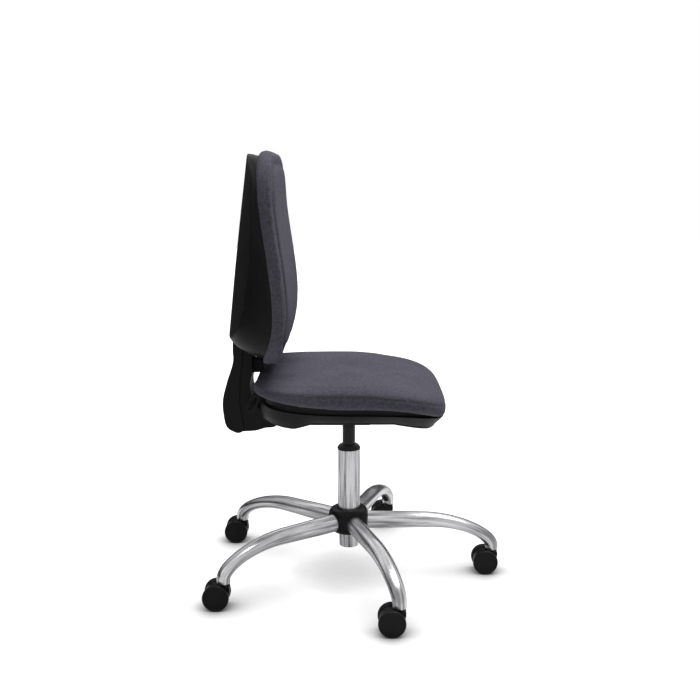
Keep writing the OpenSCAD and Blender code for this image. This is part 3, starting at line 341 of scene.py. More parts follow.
def cut(piece, cutters, sharp):
    """Takes closed meshes out of a piece with exact booleans, and smooths it anew."""
    for mesh in cutters:
        tool = placed("cutter", mesh)
        step = piece.modifiers.new("Cut", "BOOLEAN")
        step.operation = "DIFFERENCE"
        step.solver = "EXACT"
        step.object = tool
        bpy.context.view_layer.update()
        done = bpy.data.meshes.new_from_object(evaluated(piece))
        piece.modifiers.clear()
        old = piece.data
        material = old.materials[0]
        piece.data = done
        done.materials.clear()
        done.materials.append(material)
        bpy.data.meshes.remove(old)
        bpy.data.objects.remove(tool)
    smooth(piece.data, sharp)


# ---------------------------------------------------------------- materials


def node(tree, kind, output, inputs=None, stops=(), **settings):
    """Adds a shader node with its settings, and gives the output of that name, or all for None.

    stops are a ramp's (place, hex colour) pairs.
    """
    made = tree.nodes.new("ShaderNode" + kind)
    for key, value in settings.items():
        setattr(made, key, value)
    if stops:
        made.color_ramp.elements.remove(made.color_ramp.elements[1])
    for i, (place, colour) in enumerate(stops):
        stop = made.color_ramp.elements[0] if i == 0 else made.color_ramp.elements.new(place)
        stop.position = place
        stop.color = linear(colour)
    wire(made, inputs or {})
    return made.outputs if output is None else made.outputs[output]


def wire(made, inputs):
    """Links each of a node's inputs, by name or number, to a socket, or sets it to a value."""
    for key, value in inputs.items():
        if isinstance(value, bpy.types.NodeSocket):
            made.id_data.links.new(value, made.inputs[key])
        else:
            made.inputs[key].default_value = value


def shader(name, colour, roughness, metallic=0.0, **values):
    """A material with one Principled shader whose plain values stand on its own sockets."""
    material = bpy.data.materials.new(name)
    material.use_nodes = True
    material.diffuse_color = linear(colour)
    principled = material.node_tree.nodes["Principled BSDF"]
    wire(principled, {"Base Color": linear(colour), "Roughness": roughness, "Metallic": metallic})
    wire(principled, {key.replace("_", " "): value for key, value in values.items()})
    return material, material.node_tree, principled


def woven_fabric(name, dark, body, light):
    """Woven polyester upholstery, plain weave of mixed yarns: matt, with a soft grazing sheen.

    Real threads lie 0.9 mm apart and can't show in the picture, so they are drawn 2.4 mm apart.
    Warp and weft are |sin| ridges that swap places on a checker, in the cloth's own UV metres.
    The colour goes by 0.34 weave + 0.55 yarn + 0.22 cloud, the height by weave + 0.6 yarn.
    """
    material, tree, principled = shader(
        name, body, 0.92, IOR=1.45, Specular_IOR_Level=0.2,
        Sheen_Weight=0.15, Sheen_Roughness=0.45, Sheen_Tint=linear("#8f8e9c"),
    )
    thread = 2.4
    cloth = node(tree, "UVMap", "UV", uv_map="Cloth")
    weave = {0: node(tree, "TexChecker", "Fac", {"Vector": cloth, "Scale": 1000 / thread})}
    for socket, axis in ((2, "X"), (3, "Y")):
        turn = {0: node(tree, "SeparateXYZ", axis, {"Vector": cloth}), 1: math.pi * 1000 / thread}
        phase = node(tree, "Math", "Value", turn, operation="MULTIPLY")
        wave = node(tree, "Math", "Value", {0: phase}, operation="SINE")
        weave[socket] = node(tree, "Math", "Value", {0: wave}, operation="ABSOLUTE")
    weave = node(tree, "Mix", 0, weave, data_type="FLOAT")
    place = node(tree, "TexCoord", "Object")
    speckle = {"Vector": place, "Scale": 1000 / 5.0, "Detail": 3.0, "Roughness": 0.7}
    yarn = node(tree, "TexNoise", "Fac", speckle)
    cloud = node(tree, "TexNoise", "Fac", {"Vector": place, "Scale": 1000 / 90.0})
    threads, yarns, clouds, lumps = (
        node(tree, "Math", "Value", {0: pattern, 1: share}, operation="MULTIPLY")
        for pattern, share in ((weave, 0.34), (yarn, 0.55), (cloud, 0.22), (yarn, 0.6))
    )
    mottle = node(tree, "Math", "Value", {0: yarns, 1: clouds}, operation="ADD")
    mixed = node(tree, "Math", "Value", {0: threads, 1: mottle}, operation="ADD")
    height = node(tree, "Math", "Value", {0: weave, 1: lumps}, operation="ADD")
    relief = {"Height": height, "Strength": 0.5, "Distance": 0.5 * MM}
    stops = [(0.28, dark), (0.52, body), (0.8, light)]
    wire(principled, {
        "Base Color": node(tree, "ValToRGB", "Color", {"Fac": mixed}, stops),
        "Normal": node(tree, "Bump", "Normal", relief),
    })
    return material


def moulded_plastic(name, colour, worn, roughness):
    """Injection-moulded plastic with a spark-eroded grain: black, satin, dull in the pits.

    The grain is 0.5 mm on a real chair and is drawn 1.4 mm wide so that it breaks the gloss.
    """
    material, tree, principled = shader(name, colour, roughness, IOR=1.49, Specular_IOR_Level=0.16)
    place = node(tree, "TexCoord", "Object")
    grain = node(tree, "TexVoronoi", "Distance", {"Vector": place, "Scale": 1000 / 1.4})
    cloud = node(tree, "TexNoise", "Fac", {"Vector": place, "Scale": 1000 / 60.0, "Detail": 3.0})
    stops = [(0.35, colour), (0.75, worn)]
    gloss = {"Value": cloud, "To Min": roughness - 0.05, "To Max": roughness + 0.08}
    pits = {"Height": grain, "Strength": 0.35, "Distance": 0.12 * MM}
    wire(principled, {
        "Base Color": node(tree, "ValToRGB", "Color", {"Fac": cloud}, stops),
        "Roughness": node(tree, "MapRange", "Result", gloss),
        "Normal": node(tree, "Bump", "Normal", pits),
    })
    return material


def round_column(tree, across, upward):
    """Object coordinates turned round the column: (angle * across, radius, z * upward)."""
    place = node(tree, "SeparateXYZ", None, {"Vector": node(tree, "TexCoord", "Object")})
    y, offset = place["Y"], {0: place["X"], 1: COLUMN_X * MM}
    x = node(tree, "Math", "Value", offset, operation="SUBTRACT")
    angle = node(tree, "Math", "Value", {0: y, 1: x}, operation="ARCTAN2")
    xx, yy = (node(tree, "Math", "Value", {0: v, 1: v}, operation="MULTIPLY") for v in (x, y))
    square = node(tree, "Math", "Value", {0: xx, 1: yy}, operation="ADD")
    return node(tree, "CombineXYZ", "Vector", {
        "X": node(tree, "Math", "Value", {0: angle, 1: across}, operation="MULTIPLY"),
        "Y": node(tree, "Math", "Value", {0: square}, operation="SQRT"),
        "Z": node(tree, "Math", "Value", {0: place["Z"], 1: upward}, operation="MULTIPLY"),
    })


def chrome_plate(name, dark, colour, roughness, own_uv):
    """Decorative chromium on drawn steel tube: bright, with long soft streaks: buffing marks in its
    gloss and relief, and painted reflection bands in its colour.

    The streaks are noise squeezed along the tube, in a leg's own UV metres or round the column.
    """
    material, tree, principled = shader(name, colour, roughness, 1.0)
    if own_uv:
        flat = {"Vector": node(tree, "UVMap", "UV", uv_map="Tube"), "Scale": (1.0, 0.05, 1.0)}
        place = node(tree, "Mapping", "Vector", flat)
    else:
        place = round_column(tree, 0.028, 0.04)
    drawn = {"Vector": place, "Scale": 1000 / 6.0, "Detail": 3.0, "Roughness": 0.55}
    buffing_and_painted_reflection = node(tree, "TexNoise", "Fac", drawn)
    # Painted reflection: the streak noise ramps the plating's colour between darker and lighter
    # bands, standing in for reflected studio light and shade.
    stops = [(0.38, dark), (0.48, "#c6c6c9"), (0.6, colour)]
    gloss = {"Value": buffing_and_painted_reflection, "To Min": roughness + 0.1, "To Max": roughness - 0.06}
    relief = {"Height": buffing_and_painted_reflection, "Strength": 0.3, "Distance": 0.5 * MM}
    wire(principled, {
        "Base Color": node(tree, "ValToRGB", "Color", {"Fac": buffing_and_painted_reflection}, stops),
        "Roughness": node(tree, "MapRange", "Result", gloss),
        "Normal": node(tree, "Bump", "Normal", relief),
    })
    return material


def metal(name, colour, roughness):
    """Plain, plated or sprung steel: metallic, with fine drawing marks across its gloss."""
    material, tree, principled = shader(name, colour, roughness, 1.0)
    place = node(tree, "TexCoord", "Object")
    drawn = {"Vector": place, "Scale": 1000 / 3.0, "Detail": 4.0, "Roughness": 0.65}
    marks = node(tree, "TexNoise", "Fac", drawn)
    gloss = {"Value": marks, "To Min": roughness - 0.08, "To Max": roughness + 0.12}
    relief = {"Height": marks, "Strength": 0.2, "Distance": 0.08 * MM}
    wire(principled, {
        "Roughness": node(tree, "MapRange", "Result", gloss),
        "Normal": node(tree, "Bump", "Normal", relief),
    })
    return material


def powder_coat(name, colour, worn, roughness):
    """Polyester powder coat on pressed steel: semi-matt, with fine orange peel from its baking."""
    material, tree, principled = shader(name, colour, roughness, IOR=1.52, Specular_IOR_Level=0.16)
    place = node(tree, "TexCoord", "Object")
    peel = node(tree, "TexNoise", "Fac", {"Vector": place, "Scale": 1000 / 2.2})
    dust = node(tree, "TexNoise", "Fac", {"Vector": place, "Scale": 1000 / 45.0, "Detail": 4.0})
    relief = {"Height": peel, "Strength": 0.3, "Distance": 0.15 * MM}
    wire(principled, {
        "Base Color": node(tree, "ValToRGB", "Color", {"Fac": dust}, [(0.4, colour), (0.8, worn)]),
        "Normal": node(tree, "Bump", "Normal", relief),
    })
    return material


def gloss_paint(name, colour, roughness):
    """Sprayed black enamel on the gas cylinder: smooth, with fine rub marks round its length."""
    material, tree, principled = shader(
        name, colour, roughness, Specular_IOR_Level=0.2, Coat_Weight=0.1, Coat_Roughness=0.15
    )
    place = {"Vector": node(tree, "TexCoord", "Object"), "Scale": (1.0, 1.0, 0.08)}
    round_it = node(tree, "Mapping", "Vector", place)
    rub = node(tree, "TexNoise", "Fac", {"Vector": round_it, "Scale": 1000 / 3.0, "Detail": 3.0})
    gloss = {"Value": rub, "To Min": roughness - 0.06, "To Max": roughness + 0.12}
    wire(principled, {"Roughness": node(tree, "MapRange", "Result", gloss)})
    return material


def beech_ply(name):
    """Rotary-cut beech plywood: pale and matt, with its grain drawn long from front to rear."""
    material, tree, principled = shader(name, "#c9a676", 0.6)
    place = {"Vector": node(tree, "TexCoord", "Object"), "Scale": (0.12, 1.0, 1.0)}
    long_way = node(tree, "Mapping", "Vector", place)
    fibre = {"Vector": long_way, "Scale": 1000 / 4.0, "Detail": 5.0, "Roughness": 0.6}
    grain = node(tree, "TexNoise", "Fac", fibre)
    stops = [(0.3, "#b48a58"), (0.55, "#c9a676"), (0.8, "#d9bd92")]
    relief = {"Height": grain, "Strength": 0.25, "Distance": 0.2 * MM}
    wire(principled, {
        "Base Color": node(tree, "ValToRGB", "Color", {"Fac": grain}, stops),
        "Normal": node(tree, "Bump", "Normal", relief),
    })
    return material


def sewing_thread(name, colour):
    """Bonded polyester thread: a smooth round yarn with a little more gloss than the cloth."""
    material, tree, principled = shader(name, colour, 0.6, Sheen_Weight=0.2)
    place = node(tree, "TexCoord", "Object")
    twist = node(tree, "TexNoise", "Fac", {"Vector": place, "Scale": 1000 / 1.2})
    stops = [(0.35, "#4c4b57"), (0.7, colour)]
    relief = {"Height": twist, "Strength": 0.4, "Distance": 0.1 * MM}
    wire(principled, {
        "Base Color": node(tree, "ValToRGB", "Color", {"Fac": twist}, stops),
        "Normal": node(tree, "Bump", "Normal", relief),
    })
    return material


def make_finishes(tint):
    """Every finish of the chair, by its slot. tint is the fabric's mean colour."""
    rows = (
        ("seat_fabric", woven_fabric, "Woven polyester upholstery, seat",
         "#3d3c47", tint, "#75747f"),
        ("back_fabric", woven_fabric, "Woven polyester upholstery, back",
         "#3d3c47", tint, "#75747f"),
        ("thread", sewing_thread, "Bonded polyester thread", "#6f6e7b"),
        ("leg_chrome", chrome_plate, "Chromium plate on steel tube, legs",
         "#9a9a9d", "#e6e6e8", 0.27, True),
        # Painted shade: the column's plating is given darker colours than the legs' so that it
        # reads as shaded under the seat.
        ("column_chrome", chrome_plate, "Chromium plate on steel tube, column",
         "#77777a", "#dcdcde", 0.24, False),
        ("hub_paint", moulded_plastic, "Moulded nylon, hub", "#101011", "#171718", 0.34),
        ("bush_plastic", moulded_plastic, "Moulded acetal, guide bush", "#0f0f10", "#161617", 0.35),
        ("caster_plastic", moulded_plastic, "Moulded nylon, caster hood",
         "#111112", "#181819", 0.38),
        ("wheel_plastic", moulded_plastic, "Moulded nylon, wheel", "#131314", "#1b1b1c", 0.42),
        ("plain_steel", metal, "Zinc-plated steel", "#a9abad", 0.35),
        ("spring_steel", metal, "Oil-tempered spring steel", "#55565a", 0.4),
        ("black_screws", metal, "Blackened steel screw", "#2a2a2c", 0.45),
        ("cylinder_paint", gloss_paint, "Black enamel on steel, gas cylinder", "#0e0e0f", 0.25),
        ("mechanism_paint", powder_coat, "Powder coat on pressed steel, mechanism",
         "#121213", "#1b1b1c", 0.5),
        ("bar_paint", powder_coat, "Powder coat on flat steel, back bar",
         "#121213", "#1a1a1b", 0.55),
        ("lever_plastic", moulded_plastic, "Moulded nylon, lever", "#141415", "#1c1c1d", 0.4),
        ("moulded_plastic", moulded_plastic, "Moulded nylon, carriage", "#121213", "#1a1a1b", 0.45),
        ("pan_plastic", moulded_plastic, "Moulded polypropylene, seat pan",
         "#121213", "#19191a", 0.46),
        ("shell_plastic", moulded_plastic, "Moulded polypropylene, back shell",
         "#0f0f10", "#161617", 0.44),
        ("cover_plastic", moulded_plastic, "Moulded polypropylene, upright cover",
         "#0e0e0f", "#141415", 0.44),
        ("plywood", beech_ply, "Beech plywood"),
    )
    return {slot: kind(name, *values) for slot, kind, name, *values in rows}


FINISHES = {}


def finish(slot):
    """The finish of that slot, made once the add-on's colours are known."""
    if not FINISHES:
        tint = bpy.context.scene.office_chair.colours.fabric
        FINISHES.update(make_finishes(hex_of(np.clip(np.array(tint[:]), 0, 1))))
    return FINISHES[slot]


def hex_of(channels):
    """Linear RGB as an sRGB hex colour."""
    low, high = channels * 12.92, 1.055 * np.maximum(channels, 1e-9) ** (1 / 2.4) - 0.055
    srgb = np.where(channels <= 0.0031308, low, high)
    return "#" + "".join(f"{int(round(v * 255)):02x}" for v in srgb)


# ---------------------------------------------------------------- settings


def millimetres(name, description, default, low, high):
    """A size of the chair, as a property."""
    text = f"{description}, in millimetres"
    return FloatProperty(name=name, description=text, default=default, min=low, max=high)


def tint(name, description, colour):
    """A colour of the picture, as a property."""
    return FloatVectorProperty(
        name=name, description=description, default=linear(colour)[:3],
        subtype="COLOR", size=3, min=0.0, max=1.0,
    )


class ChairSizes(PropertyGroup):
    seat_crown: millimetres(
        "Seat crown", "How far the seat's middle stands over its border", 2.0, 0.0, 8.0
    )
    seat_round: millimetres(
        "Seat rounding", "Rounding of the seat cushion's upper border", 16.0, 10.0, 30.0
    )
    back_round: millimetres(
        "Back rounding", "Rounding of the back cushion's border", 25.0, 12.0, 34.0
    )
    foam_swell: millimetres(
        "Foam swell", "Most that the cloth may move when the foam fills it", 5.0, 5.0, 16.0
    )
    stitch_pitch: millimetres(
        "Stitch pitch", "Distance from one stitch to the next", 5.5, 3.0, 10.0
    )
    leg_steps: IntProperty(
        name="Leg rings", description="Rings along each leg's bend", default=112, min=16, max=120
    )


class ChairColours(PropertyGroup):
    fabric: tint("Fabric", "Mean colour of the upholstery", "#555460")
    floor: tint("Floor", "Colour of the studio floor", "#f2f2f2")


class ChairSettings(PropertyGroup):
    sizes: PointerProperty(type=ChairSizes)
    colours: PointerProperty(type=ChairColours)


def sizes():
    """The sizes that the panel shows."""
    return bpy.context.scene.office_chair.sizes


# ---------------------------------------------------------------- seat


OUTLINE = turns(240)  # where the points of every outline lie round their turn


class Seat:
    """The seat's outline and its lower and upper lines, in millimetres from the column's axis.

    s runs from -1 at the rear to 1 at the front, with fore = max(0, s) and aft = max(0, -s). The
    edge is where the cushion meets the pan, and the outline is a superellipse of power 5.
    """

    mid_x = 6.5
    length = SEAT_BOX.x
    width = SEAT_BOX.y
    power = 5.0
    board = 424.6  # height of the board's upper face, that the foam lies on

    @classmethod
    def share(cls, x):
        """fore and aft at x."""
        s = (x - cls.mid_x) / (cls.length / 2)
        return np.clip(s, 0, 1.2), np.clip(-s, 0, 1.2)

    @classmethod
    def edge(cls, x):
        """427 + 25 aft^2 - 32 fore^3.3."""
        fore, aft = cls.share(x)
        return 427 + 25 * aft**2 - 32 * fore**3.3

    @classmethod
    def top(cls, x):
        """467 - 5 aft^2 - 24 fore^1.5 - 12 fore^6."""
        fore, aft = cls.share(x)
        return 467 - 5 * aft**2 - 24 * fore**1.5 - 12 * fore**6

    @classmethod
    def ring(cls, inset, share, lift=0.0):
        """Outline drawn in by inset, at a share of the way from the edge to the top, and lifted."""
        x, y = oval(cls.length / 2 - inset, cls.width / 2 - inset, cls.power, OUTLINE)
        x = x + cls.mid_x
        return np.stack([x, y, lerp(cls.edge(x), cls.top(x), share) + lift], -1)

    @classmethod
    def flat(cls, inset):
        """Outline drawn in by inset, on the board."""
        ring = cls.ring(inset, 0)
        ring[:, 2] = cls.board
        return ring

    @classmethod
    def depth(cls, p):
        """How far in from the outline points lie."""
        return oval_depth(p[:, 0] - cls.mid_x, p[:, 1], cls.length / 2, cls.width / 2, cls.power)


class Back:
    """The back's outline and the fabric's rear line, in millimetres from the column's axis.

    t runs from 0 at the bottom to 1 at the top: half the width is (430 - 36 t^1.5) / 2, and the
    rear line is -173 plus 24.5 of a cosine hump that peaks at t = 0.24 and ends at 0.86.
    """

    height = BACK_BOX.z
    mid_z = middle("back_cushion").z / MM
    low = mid_z - height / 2
    power = 5.0
    pad = 27.5

    @classmethod
    def share(cls, z):
        """t at z."""
        return (z - cls.mid_z) / cls.height + 0.5

    @classmethod
    def half_width(cls, z):
        """(430 - 36 t^1.5) / 2."""
        return (430 - 36 * np.clip(cls.share(z), 0, 1.1) ** 1.5) / 2

    @classmethod
    def edge(cls, z):
        """The rear line: its hump rises as a cosine below t = 0.24 and falls as one above."""
        t = cls.share(z)
        below = np.cos(np.pi / 2 * np.clip((0.24 - t) / 0.24, 0, 1))
        above = (1 + np.cos(np.pi * np.clip((t - 0.24) / 0.62, 0, 1))) / 2
        return -173 + 24.5 * np.where(t < 0.24, below, above)

    @classmethod
    def ring(cls, inset, share, lift=0.0):
        """Outline drawn in by inset, at a share of the pad's thickness before its rear line."""
        across, up = oval(1.0, cls.height / 2 - inset, cls.power, OUTLINE)
        z = cls.mid_z + up
        y = (cls.half_width(z) - inset) * across
        return np.stack([cls.edge(z) + cls.pad * share + lift, y, z], -1)

    @classmethod
    def depth(cls, p):
        """How far in from the outline points lie."""
        half = cls.half_width(p[:, 2])
        return oval_depth(p[:, 1], p[:, 2] - cls.mid_z, half, cls.height / 2, cls.power)


def seat_rows(swell):
    """Rows of the seat cushion from the foot on the board, round the side, to the crown.

    The cloth hangs a little over the pan's rim: the border's foot drops by 4.5 + 7 fore^6, the
    rear edge goes back by up to 9 aft^4 + 10 aft^5, the front corners draw in by 6 fore^6 times
    (y / half)^6, and the rear ones are fuller by 6 aft^3 times a bell about three quarters of the
    half width, and stand up to 9 higher.
    """
    r = sizes().seat_round

    def dressed(ring, share):
        fore, aft = Seat.share(ring[:, 0])
        beside = 2 * np.abs(ring[:, 1]) / Seat.width
        drop = (4.5 + 7 * fore**6) * max(0, 1 - share / 0.6)
        back = 9 * aft**4 * min(1, 0.7 + 1.4 * share) + 10 * aft**5 * smoothstep(0.6, 0.9, share)
        full = aft**3 * np.exp(-(((beside - 0.76) / 0.2) ** 2))
        lift = 9 * full * smoothstep(0.4, 0.95, share) - drop
        push = 2 * fore**6 - back - 6 * full - 6 * (fore**6 * beside**6)
        return ring + np.stack([push, 0 * drop, lift], -1)

    side = through(
        [[0.8, 0], [0.32, 0.1], [0.12, 0.28], [0.06, 0.44], [0.1, 0.54], [0.17, 0.6],
         [0.13, 0.64], [0.2, 0.73], [0.46, 0.86], [1.1, 0.96], [2.0, 1]]
    )
    rows = [Seat.flat(110), Seat.flat(46.5), Seat.ring(31.5, 0), Seat.ring(24, 0)]
    rows += [dressed(Seat.ring(a * r + swell, b, -swell * b), b) for a, b in side]
    for t in np.linspace(0, 1, 12)[1:]:
        crown = sizes().seat_crown * math.sin(math.pi / 2 * t)
        rows.append(dressed(Seat.ring(r * (2.0 + 9 * t), 1, crown - swell), 1))
    return at_column(np.stack(rows))


def back_rows(swell):
    """Rows of the back cushion from the board, round the side and over the channel, to the front.

    Towards the bottom the pad is fuller: with w falling from 1 at the lower edge to 0 at 70 mm
    above it, points move down by 8 w and forward by 5 w times their share of the thickness. Its
    rear line stands 3 behind the shell's rim, 8 at the foot and 7 at the top, where the side seam
    crests by 6.
    """
    r, low = sizes().back_round, Back.low

    def fuller(ring, share):
        w = smoothstep(low + 70, low, ring[:, 2])
        behind = 3 + 4 * smoothstep(low + 250, low + 420, ring[:, 2]) + 5 * w
        behind = behind * max(0, 1 - 1.5 * share)
        crest = 6 * smoothstep(low + Back.height - 40, low + Back.height - 4, ring[:, 2])
        crest = crest * math.exp(-(((share - 0.3) / 0.25) ** 2))
        return ring + np.stack([5 * w * share - behind, 0 * w, crest - 8 * w], -1)

    side = through(
        [[0.3, 0], [0.06, 0.15], [0.06, 0.4], [0.04, 0.68], [0.08, 0.82], [0.28, 0.9],
         [0.7, 0.91], [0.98, 0.83], [1.08, 0.85], [1.22, 0.97], [1.6, 1.0], [2.6, 1.01], [4, 1.02],
         [7, 1.02]]
    )
    rows = [Back.ring(a * r, 0, 0.5) for a in (7.2, 5.6, 4.4, 3.3, 2.2, 1.2)]
    rows += [fuller(Back.ring(a * r + swell * (a < 2), b, -swell * b), b) for a, b in side]
    return at_column(np.stack(rows))


def pinned_group(piece, weight):
    """A vertex group whose weights come from an array, in sixteen steps."""
    group = piece.vertex_groups.new(name="Held")
    steps = np.round(np.clip(weight, 0, 1) * 16).astype(int)
    for step in np.unique(steps[steps > 0]):
        group.add(np.nonzero(steps == step)[0].tolist(), float(step) / 16, "REPLACE")
    return group.name


def evened(mesh, values, rounds):
    """Each vertex's values averaged with its neighbours' a number of times."""
    ends = gathered(mesh.edges, "vertices", np.int32, 2)
    a, b = ends.reshape(-1, 2).T
    share = 1 / (1 + np.bincount(ends, minlength=len(values)))[:, None]
    for _ in range(rounds):
        total = values.copy()
        for axis in range(3):
            total[:, axis] += np.bincount(a, values[b, axis], len(values))
            total[:, axis] += np.bincount(b, values[a, axis], len(values))
        values = total * share
    return values


VOXEL_MM = 5.0
CLOTH_FRAMES = 20
CLOTH = {
    "quality": 4,
    "mass": 0.3,
    "tension_stiffness": 18,
    "compression_stiffness": 18,
    "shear_stiffness": 8,
    "bending_stiffness": 1.2,
    "use_pressure": True,
    "uniform_pressure_force": 4,
}


def fill_with_foam(mesh, name, held):
    """Remeshes a cover, lets pressure swell it as cloth, and caps how far it moves.

    held gives each vertex's weight of staying where it is, from its place in millimetres from the
    column. The outward part m of each movement becomes cap * tanh(m / cap), evened out between
    neighbours so that the cover keeps its sewn lines. One subdivision follows.
    """
    cap = sizes().foam_swell
    piece = placed(name, mesh)
    step = piece.modifiers.new("Voxels", "REMESH")
    step.mode = "VOXEL"
    step.voxel_size = VOXEL_MM * MM
    step.use_smooth_shade = True
    cover = bpy.data.meshes.new_from_object(evaluated(piece))
    piece.modifiers.clear()
    piece.data = cover
    cloth = piece.modifiers.new("Cloth", "CLOTH")
    for key, value in CLOTH.items():
        setattr(cloth.settings, key, value)
    cloth.settings.effector_weights.gravity = 0
    cloth.settings.vertex_group_mass = pinned_group(piece, held(from_column(cover)))
    cloth.collision_settings.use_collision = False
    cloth.point_cache.frame_start = 1
    cloth.point_cache.frame_end = CLOTH_FRAMES
    scene = bpy.context.scene
    for number in range(1, CLOTH_FRAMES + 1):
        scene.frame_set(number)
    start, out = coords(cover), normals(cover)
    swollen = coords(evaluated(piece).data)
    moved = np.maximum(np.sum((swollen - start) * out, axis=1, keepdims=True), 0) * out
    piece.modifiers.remove(cloth)
    piece.vertex_groups.clear()
    scene.frame_set(1)
    far = np.linalg.norm(moved, axis=1, keepdims=True) / MM
    keep = np.where(far > 1e-6, cap * np.tanh(far / cap) / np.maximum(far, 1e-6), 1.0)
    set_coords(cover, start + evened(cover, moved * keep, 6))
    finer = piece.modifiers.new("Finer", "SUBSURF")
    finer.levels = finer.render_levels = 1
    fine = bpy.data.meshes.new_from_object(evaluated(piece))
    bpy.data.objects.remove(piece)
    fine.shade_smooth()
    fine.name = name
    return fine


def padded_cover(name, rows, held):
    """A pad's cover from its rows, 1.5 mm smaller and filled with foam."""
    mesh = grid_mesh(name, [rows(1.5)], 60)
    return fill_with_foam(mesh, name, held)


def cloth_uv(mesh, flat, on_panel, angle, rise, radius=225):
    """Writes the cloth's own UVs in metres: plan coordinates on the main panel, and angle times
    radius against rise on the border, so that each panel's weave runs as it was cut."""
    vertex, face, totals, first = face_corners(mesh)
    panel = np.add.reduceat(on_panel[vertex].astype(float), first) / totals > 0.5
    turn = angle[vertex]
    anchor = angle[vertex[first]][face]
    turn = np.where(turn - anchor > np.pi, turn - 2 * np.pi, turn)
    turn = np.where(turn - anchor < -np.pi, turn + 2 * np.pi, turn)
    border = np.stack([turn * radius * MM, rise[vertex] * MM], -1)
    write_uv(mesh, "Cloth", *np.where(panel[face][:, None], flat[vertex] * MM, border).T)


def groove(mesh, distance, depth_mm, width_mm, where=1.0):
    """Draws a sewn line into a cover: vertices go in by depth * exp(-(distance / width)^2)."""
    p, n = coords(mesh), normals(mesh)
    pull = depth_mm * np.exp(-((distance / width_mm) ** 2)) * where
    set_coords(mesh, p - n * (pull * MM)[:, None])


def stitches(name, path, outward, cover, body, slot):
    """A row of stitches: short rounded yarns laid on the cover along a closed path in metres."""
    pitch = sizes().stitch_pitch
    surface = BVHTree.FromPolygons(
        [v.co for v in cover.vertices], [tuple(p.vertices) for p in cover.polygons]
    )
    steps = np.linalg.norm(np.roll(path, -1, 0) - path, axis=1)
    length = np.concatenate([[0], np.cumsum(steps)])
    count = int(length[-1] / (pitch * MM))
    at = (np.arange(count) + 0.5) / count * length[-1]

    def along_path(values, place):
        closed = np.vstack([values, values[:1]])
        return np.stack([np.interp(place, length, closed[:, i]) for i in range(3)], -1)

    ahead = along_path(path, (at + 1e-3) % length[-1])
    grids = []
    for p, q, o in zip(along_path(path, at), ahead, along_path(outward, at)):
        hit, normal, _, _ = surface.find_nearest(Vector(p))
        if hit is None:
            raise RuntimeError(f"{name}: the cover has no surface near a stitch")
        along = np.array(q - p)
        along /= max(np.linalg.norm(along), 1e-9)
        normal = np.array(normal)
        if normal @ o < 0:
            normal = -normal
        t = np.linspace(-1, 1, 6)
        line = (
            np.array(hit)
            + np.outer(t * 0.36 * pitch * MM, along)
            + np.outer((0.45 * (1 - t**2) - 0.12) * MM, normal)
        )
        grids.append(tube(line, 0.42 * MM * np.sqrt(np.clip(1.15 - t**2, 0.1, 1)), 6, normal))
    new_piece(name, grid_mesh(name, grids, 80), body, slot, surface="thread")


# ---------------------------------------------------------------- pieces


def add_pad(side, body, cover, ring, outward):
    """Shows a cover as the seat's or the back's pad, with stitches along a ring of its outline."""
    fabric = f"{side}_fabric"
    piece = new_piece(f"{side}_pad", cover, body, fabric, f"{side}_cushion")
    stitches(f"{side}_stitching", at_column(ring), outward, cover, body, fabric)


def seat_pan_mesh():
    """The pan as a tray: floor, fold, flare up to the step, band up to the rim, and back inside.

    Each row is the seat's outline drawn in, at a share of the way from the floor to the cushion's
    edge. It is pushed forward by 17 fore^4 and, at the corners, back by 12 aft^3, and 36 at the
    fold. Outside its level middle the floor dips by 15 towards the front and by 14 at the rear
    corners, and the rim is rounded.
    """
    wall, level, step = 3.0, 382, 0.58
    fold_push, rim_push = 36, 12

    def xy(inset_x, inset_y, push):
        x, y = oval(Seat.length / 2 - inset_x, Seat.width / 2 - inset_y, Seat.power, OUTLINE)
        fore, aft = np.clip(x / (Seat.length / 2), 0, 1), np.clip(-x / (Seat.length / 2), 0, 1)
        corner = push * aft**3 * smoothstep(50, 110, np.abs(y))
        return x + Seat.mid_x + 17 * fore**4 - corner, y

    def dip(x, y):
        front = 15 * np.clip((x - Seat.mid_x - Seat.length / 2 + 112) / 70, 0, 1)
        rear = 14 * np.clip((-75 - x) / 37, 0, 1) * np.clip((np.abs(y) - 130) / 38, 0, 1)
        return front + rear

    def floor(inset_x, inset_y, lift):
        x, y = xy(inset_x, inset_y, fold_push)
        return np.stack([x, y, level - dip(x, y) * min(1, (98 - inset_x) / 70) + lift], -1)

    def side(inset_x, inset_y, share, lift):
        x, y = xy(inset_x, inset_y, lerp(fold_push, rim_push, min(1, share / step)))
        low = level - dip(x, y) * max(0, 1 - share / step)
        return np.stack([x, y, lerp(low, Seat.edge(x), share) + lift], -1)

    fold = [(98, 90, 0), (60, 70, 0), (32, 60, 0), (29, 57, 1.2), (28, 56, 4)]
    rows = [floor(*row) for row in fold]
    for t in np.linspace(0, 1, 8)[1:]:
        belly = 2.0 * math.sin(math.pi * t)
        share = step * t + 0.06 * (1 - t)
        rows.append(side(lerp(28, 16, t) - belly, lerp(56, 23, t) - belly, share, 0))
    band = [
        (16.4, 23.4, 0.585, 0.5), (19, 26, 0.59, 0.9), (21.4, 28.4, 0.6, 1.0),
        (21.8, 28.8, 0.64, 0.6), (20.4, 27.4, 0.8, 0), (20.4, 27.4, 0.96, -0.3),
        (22.6, 29.6, 1, -0.5), (24.4, 31.4, 1, -0.5), (25, 32, 0.96, -0.5),
        (25, 32, 0.64, 0), (22, 29, 0.56, -wall), (34, 62, 0.1, wall),
    ]
    rows += [side(*row) for row in band] + [floor(40, 66, wall), floor(98, 90, wall)]
    return grid_mesh("seat_pan", [at_column(np.stack(rows))], 32)


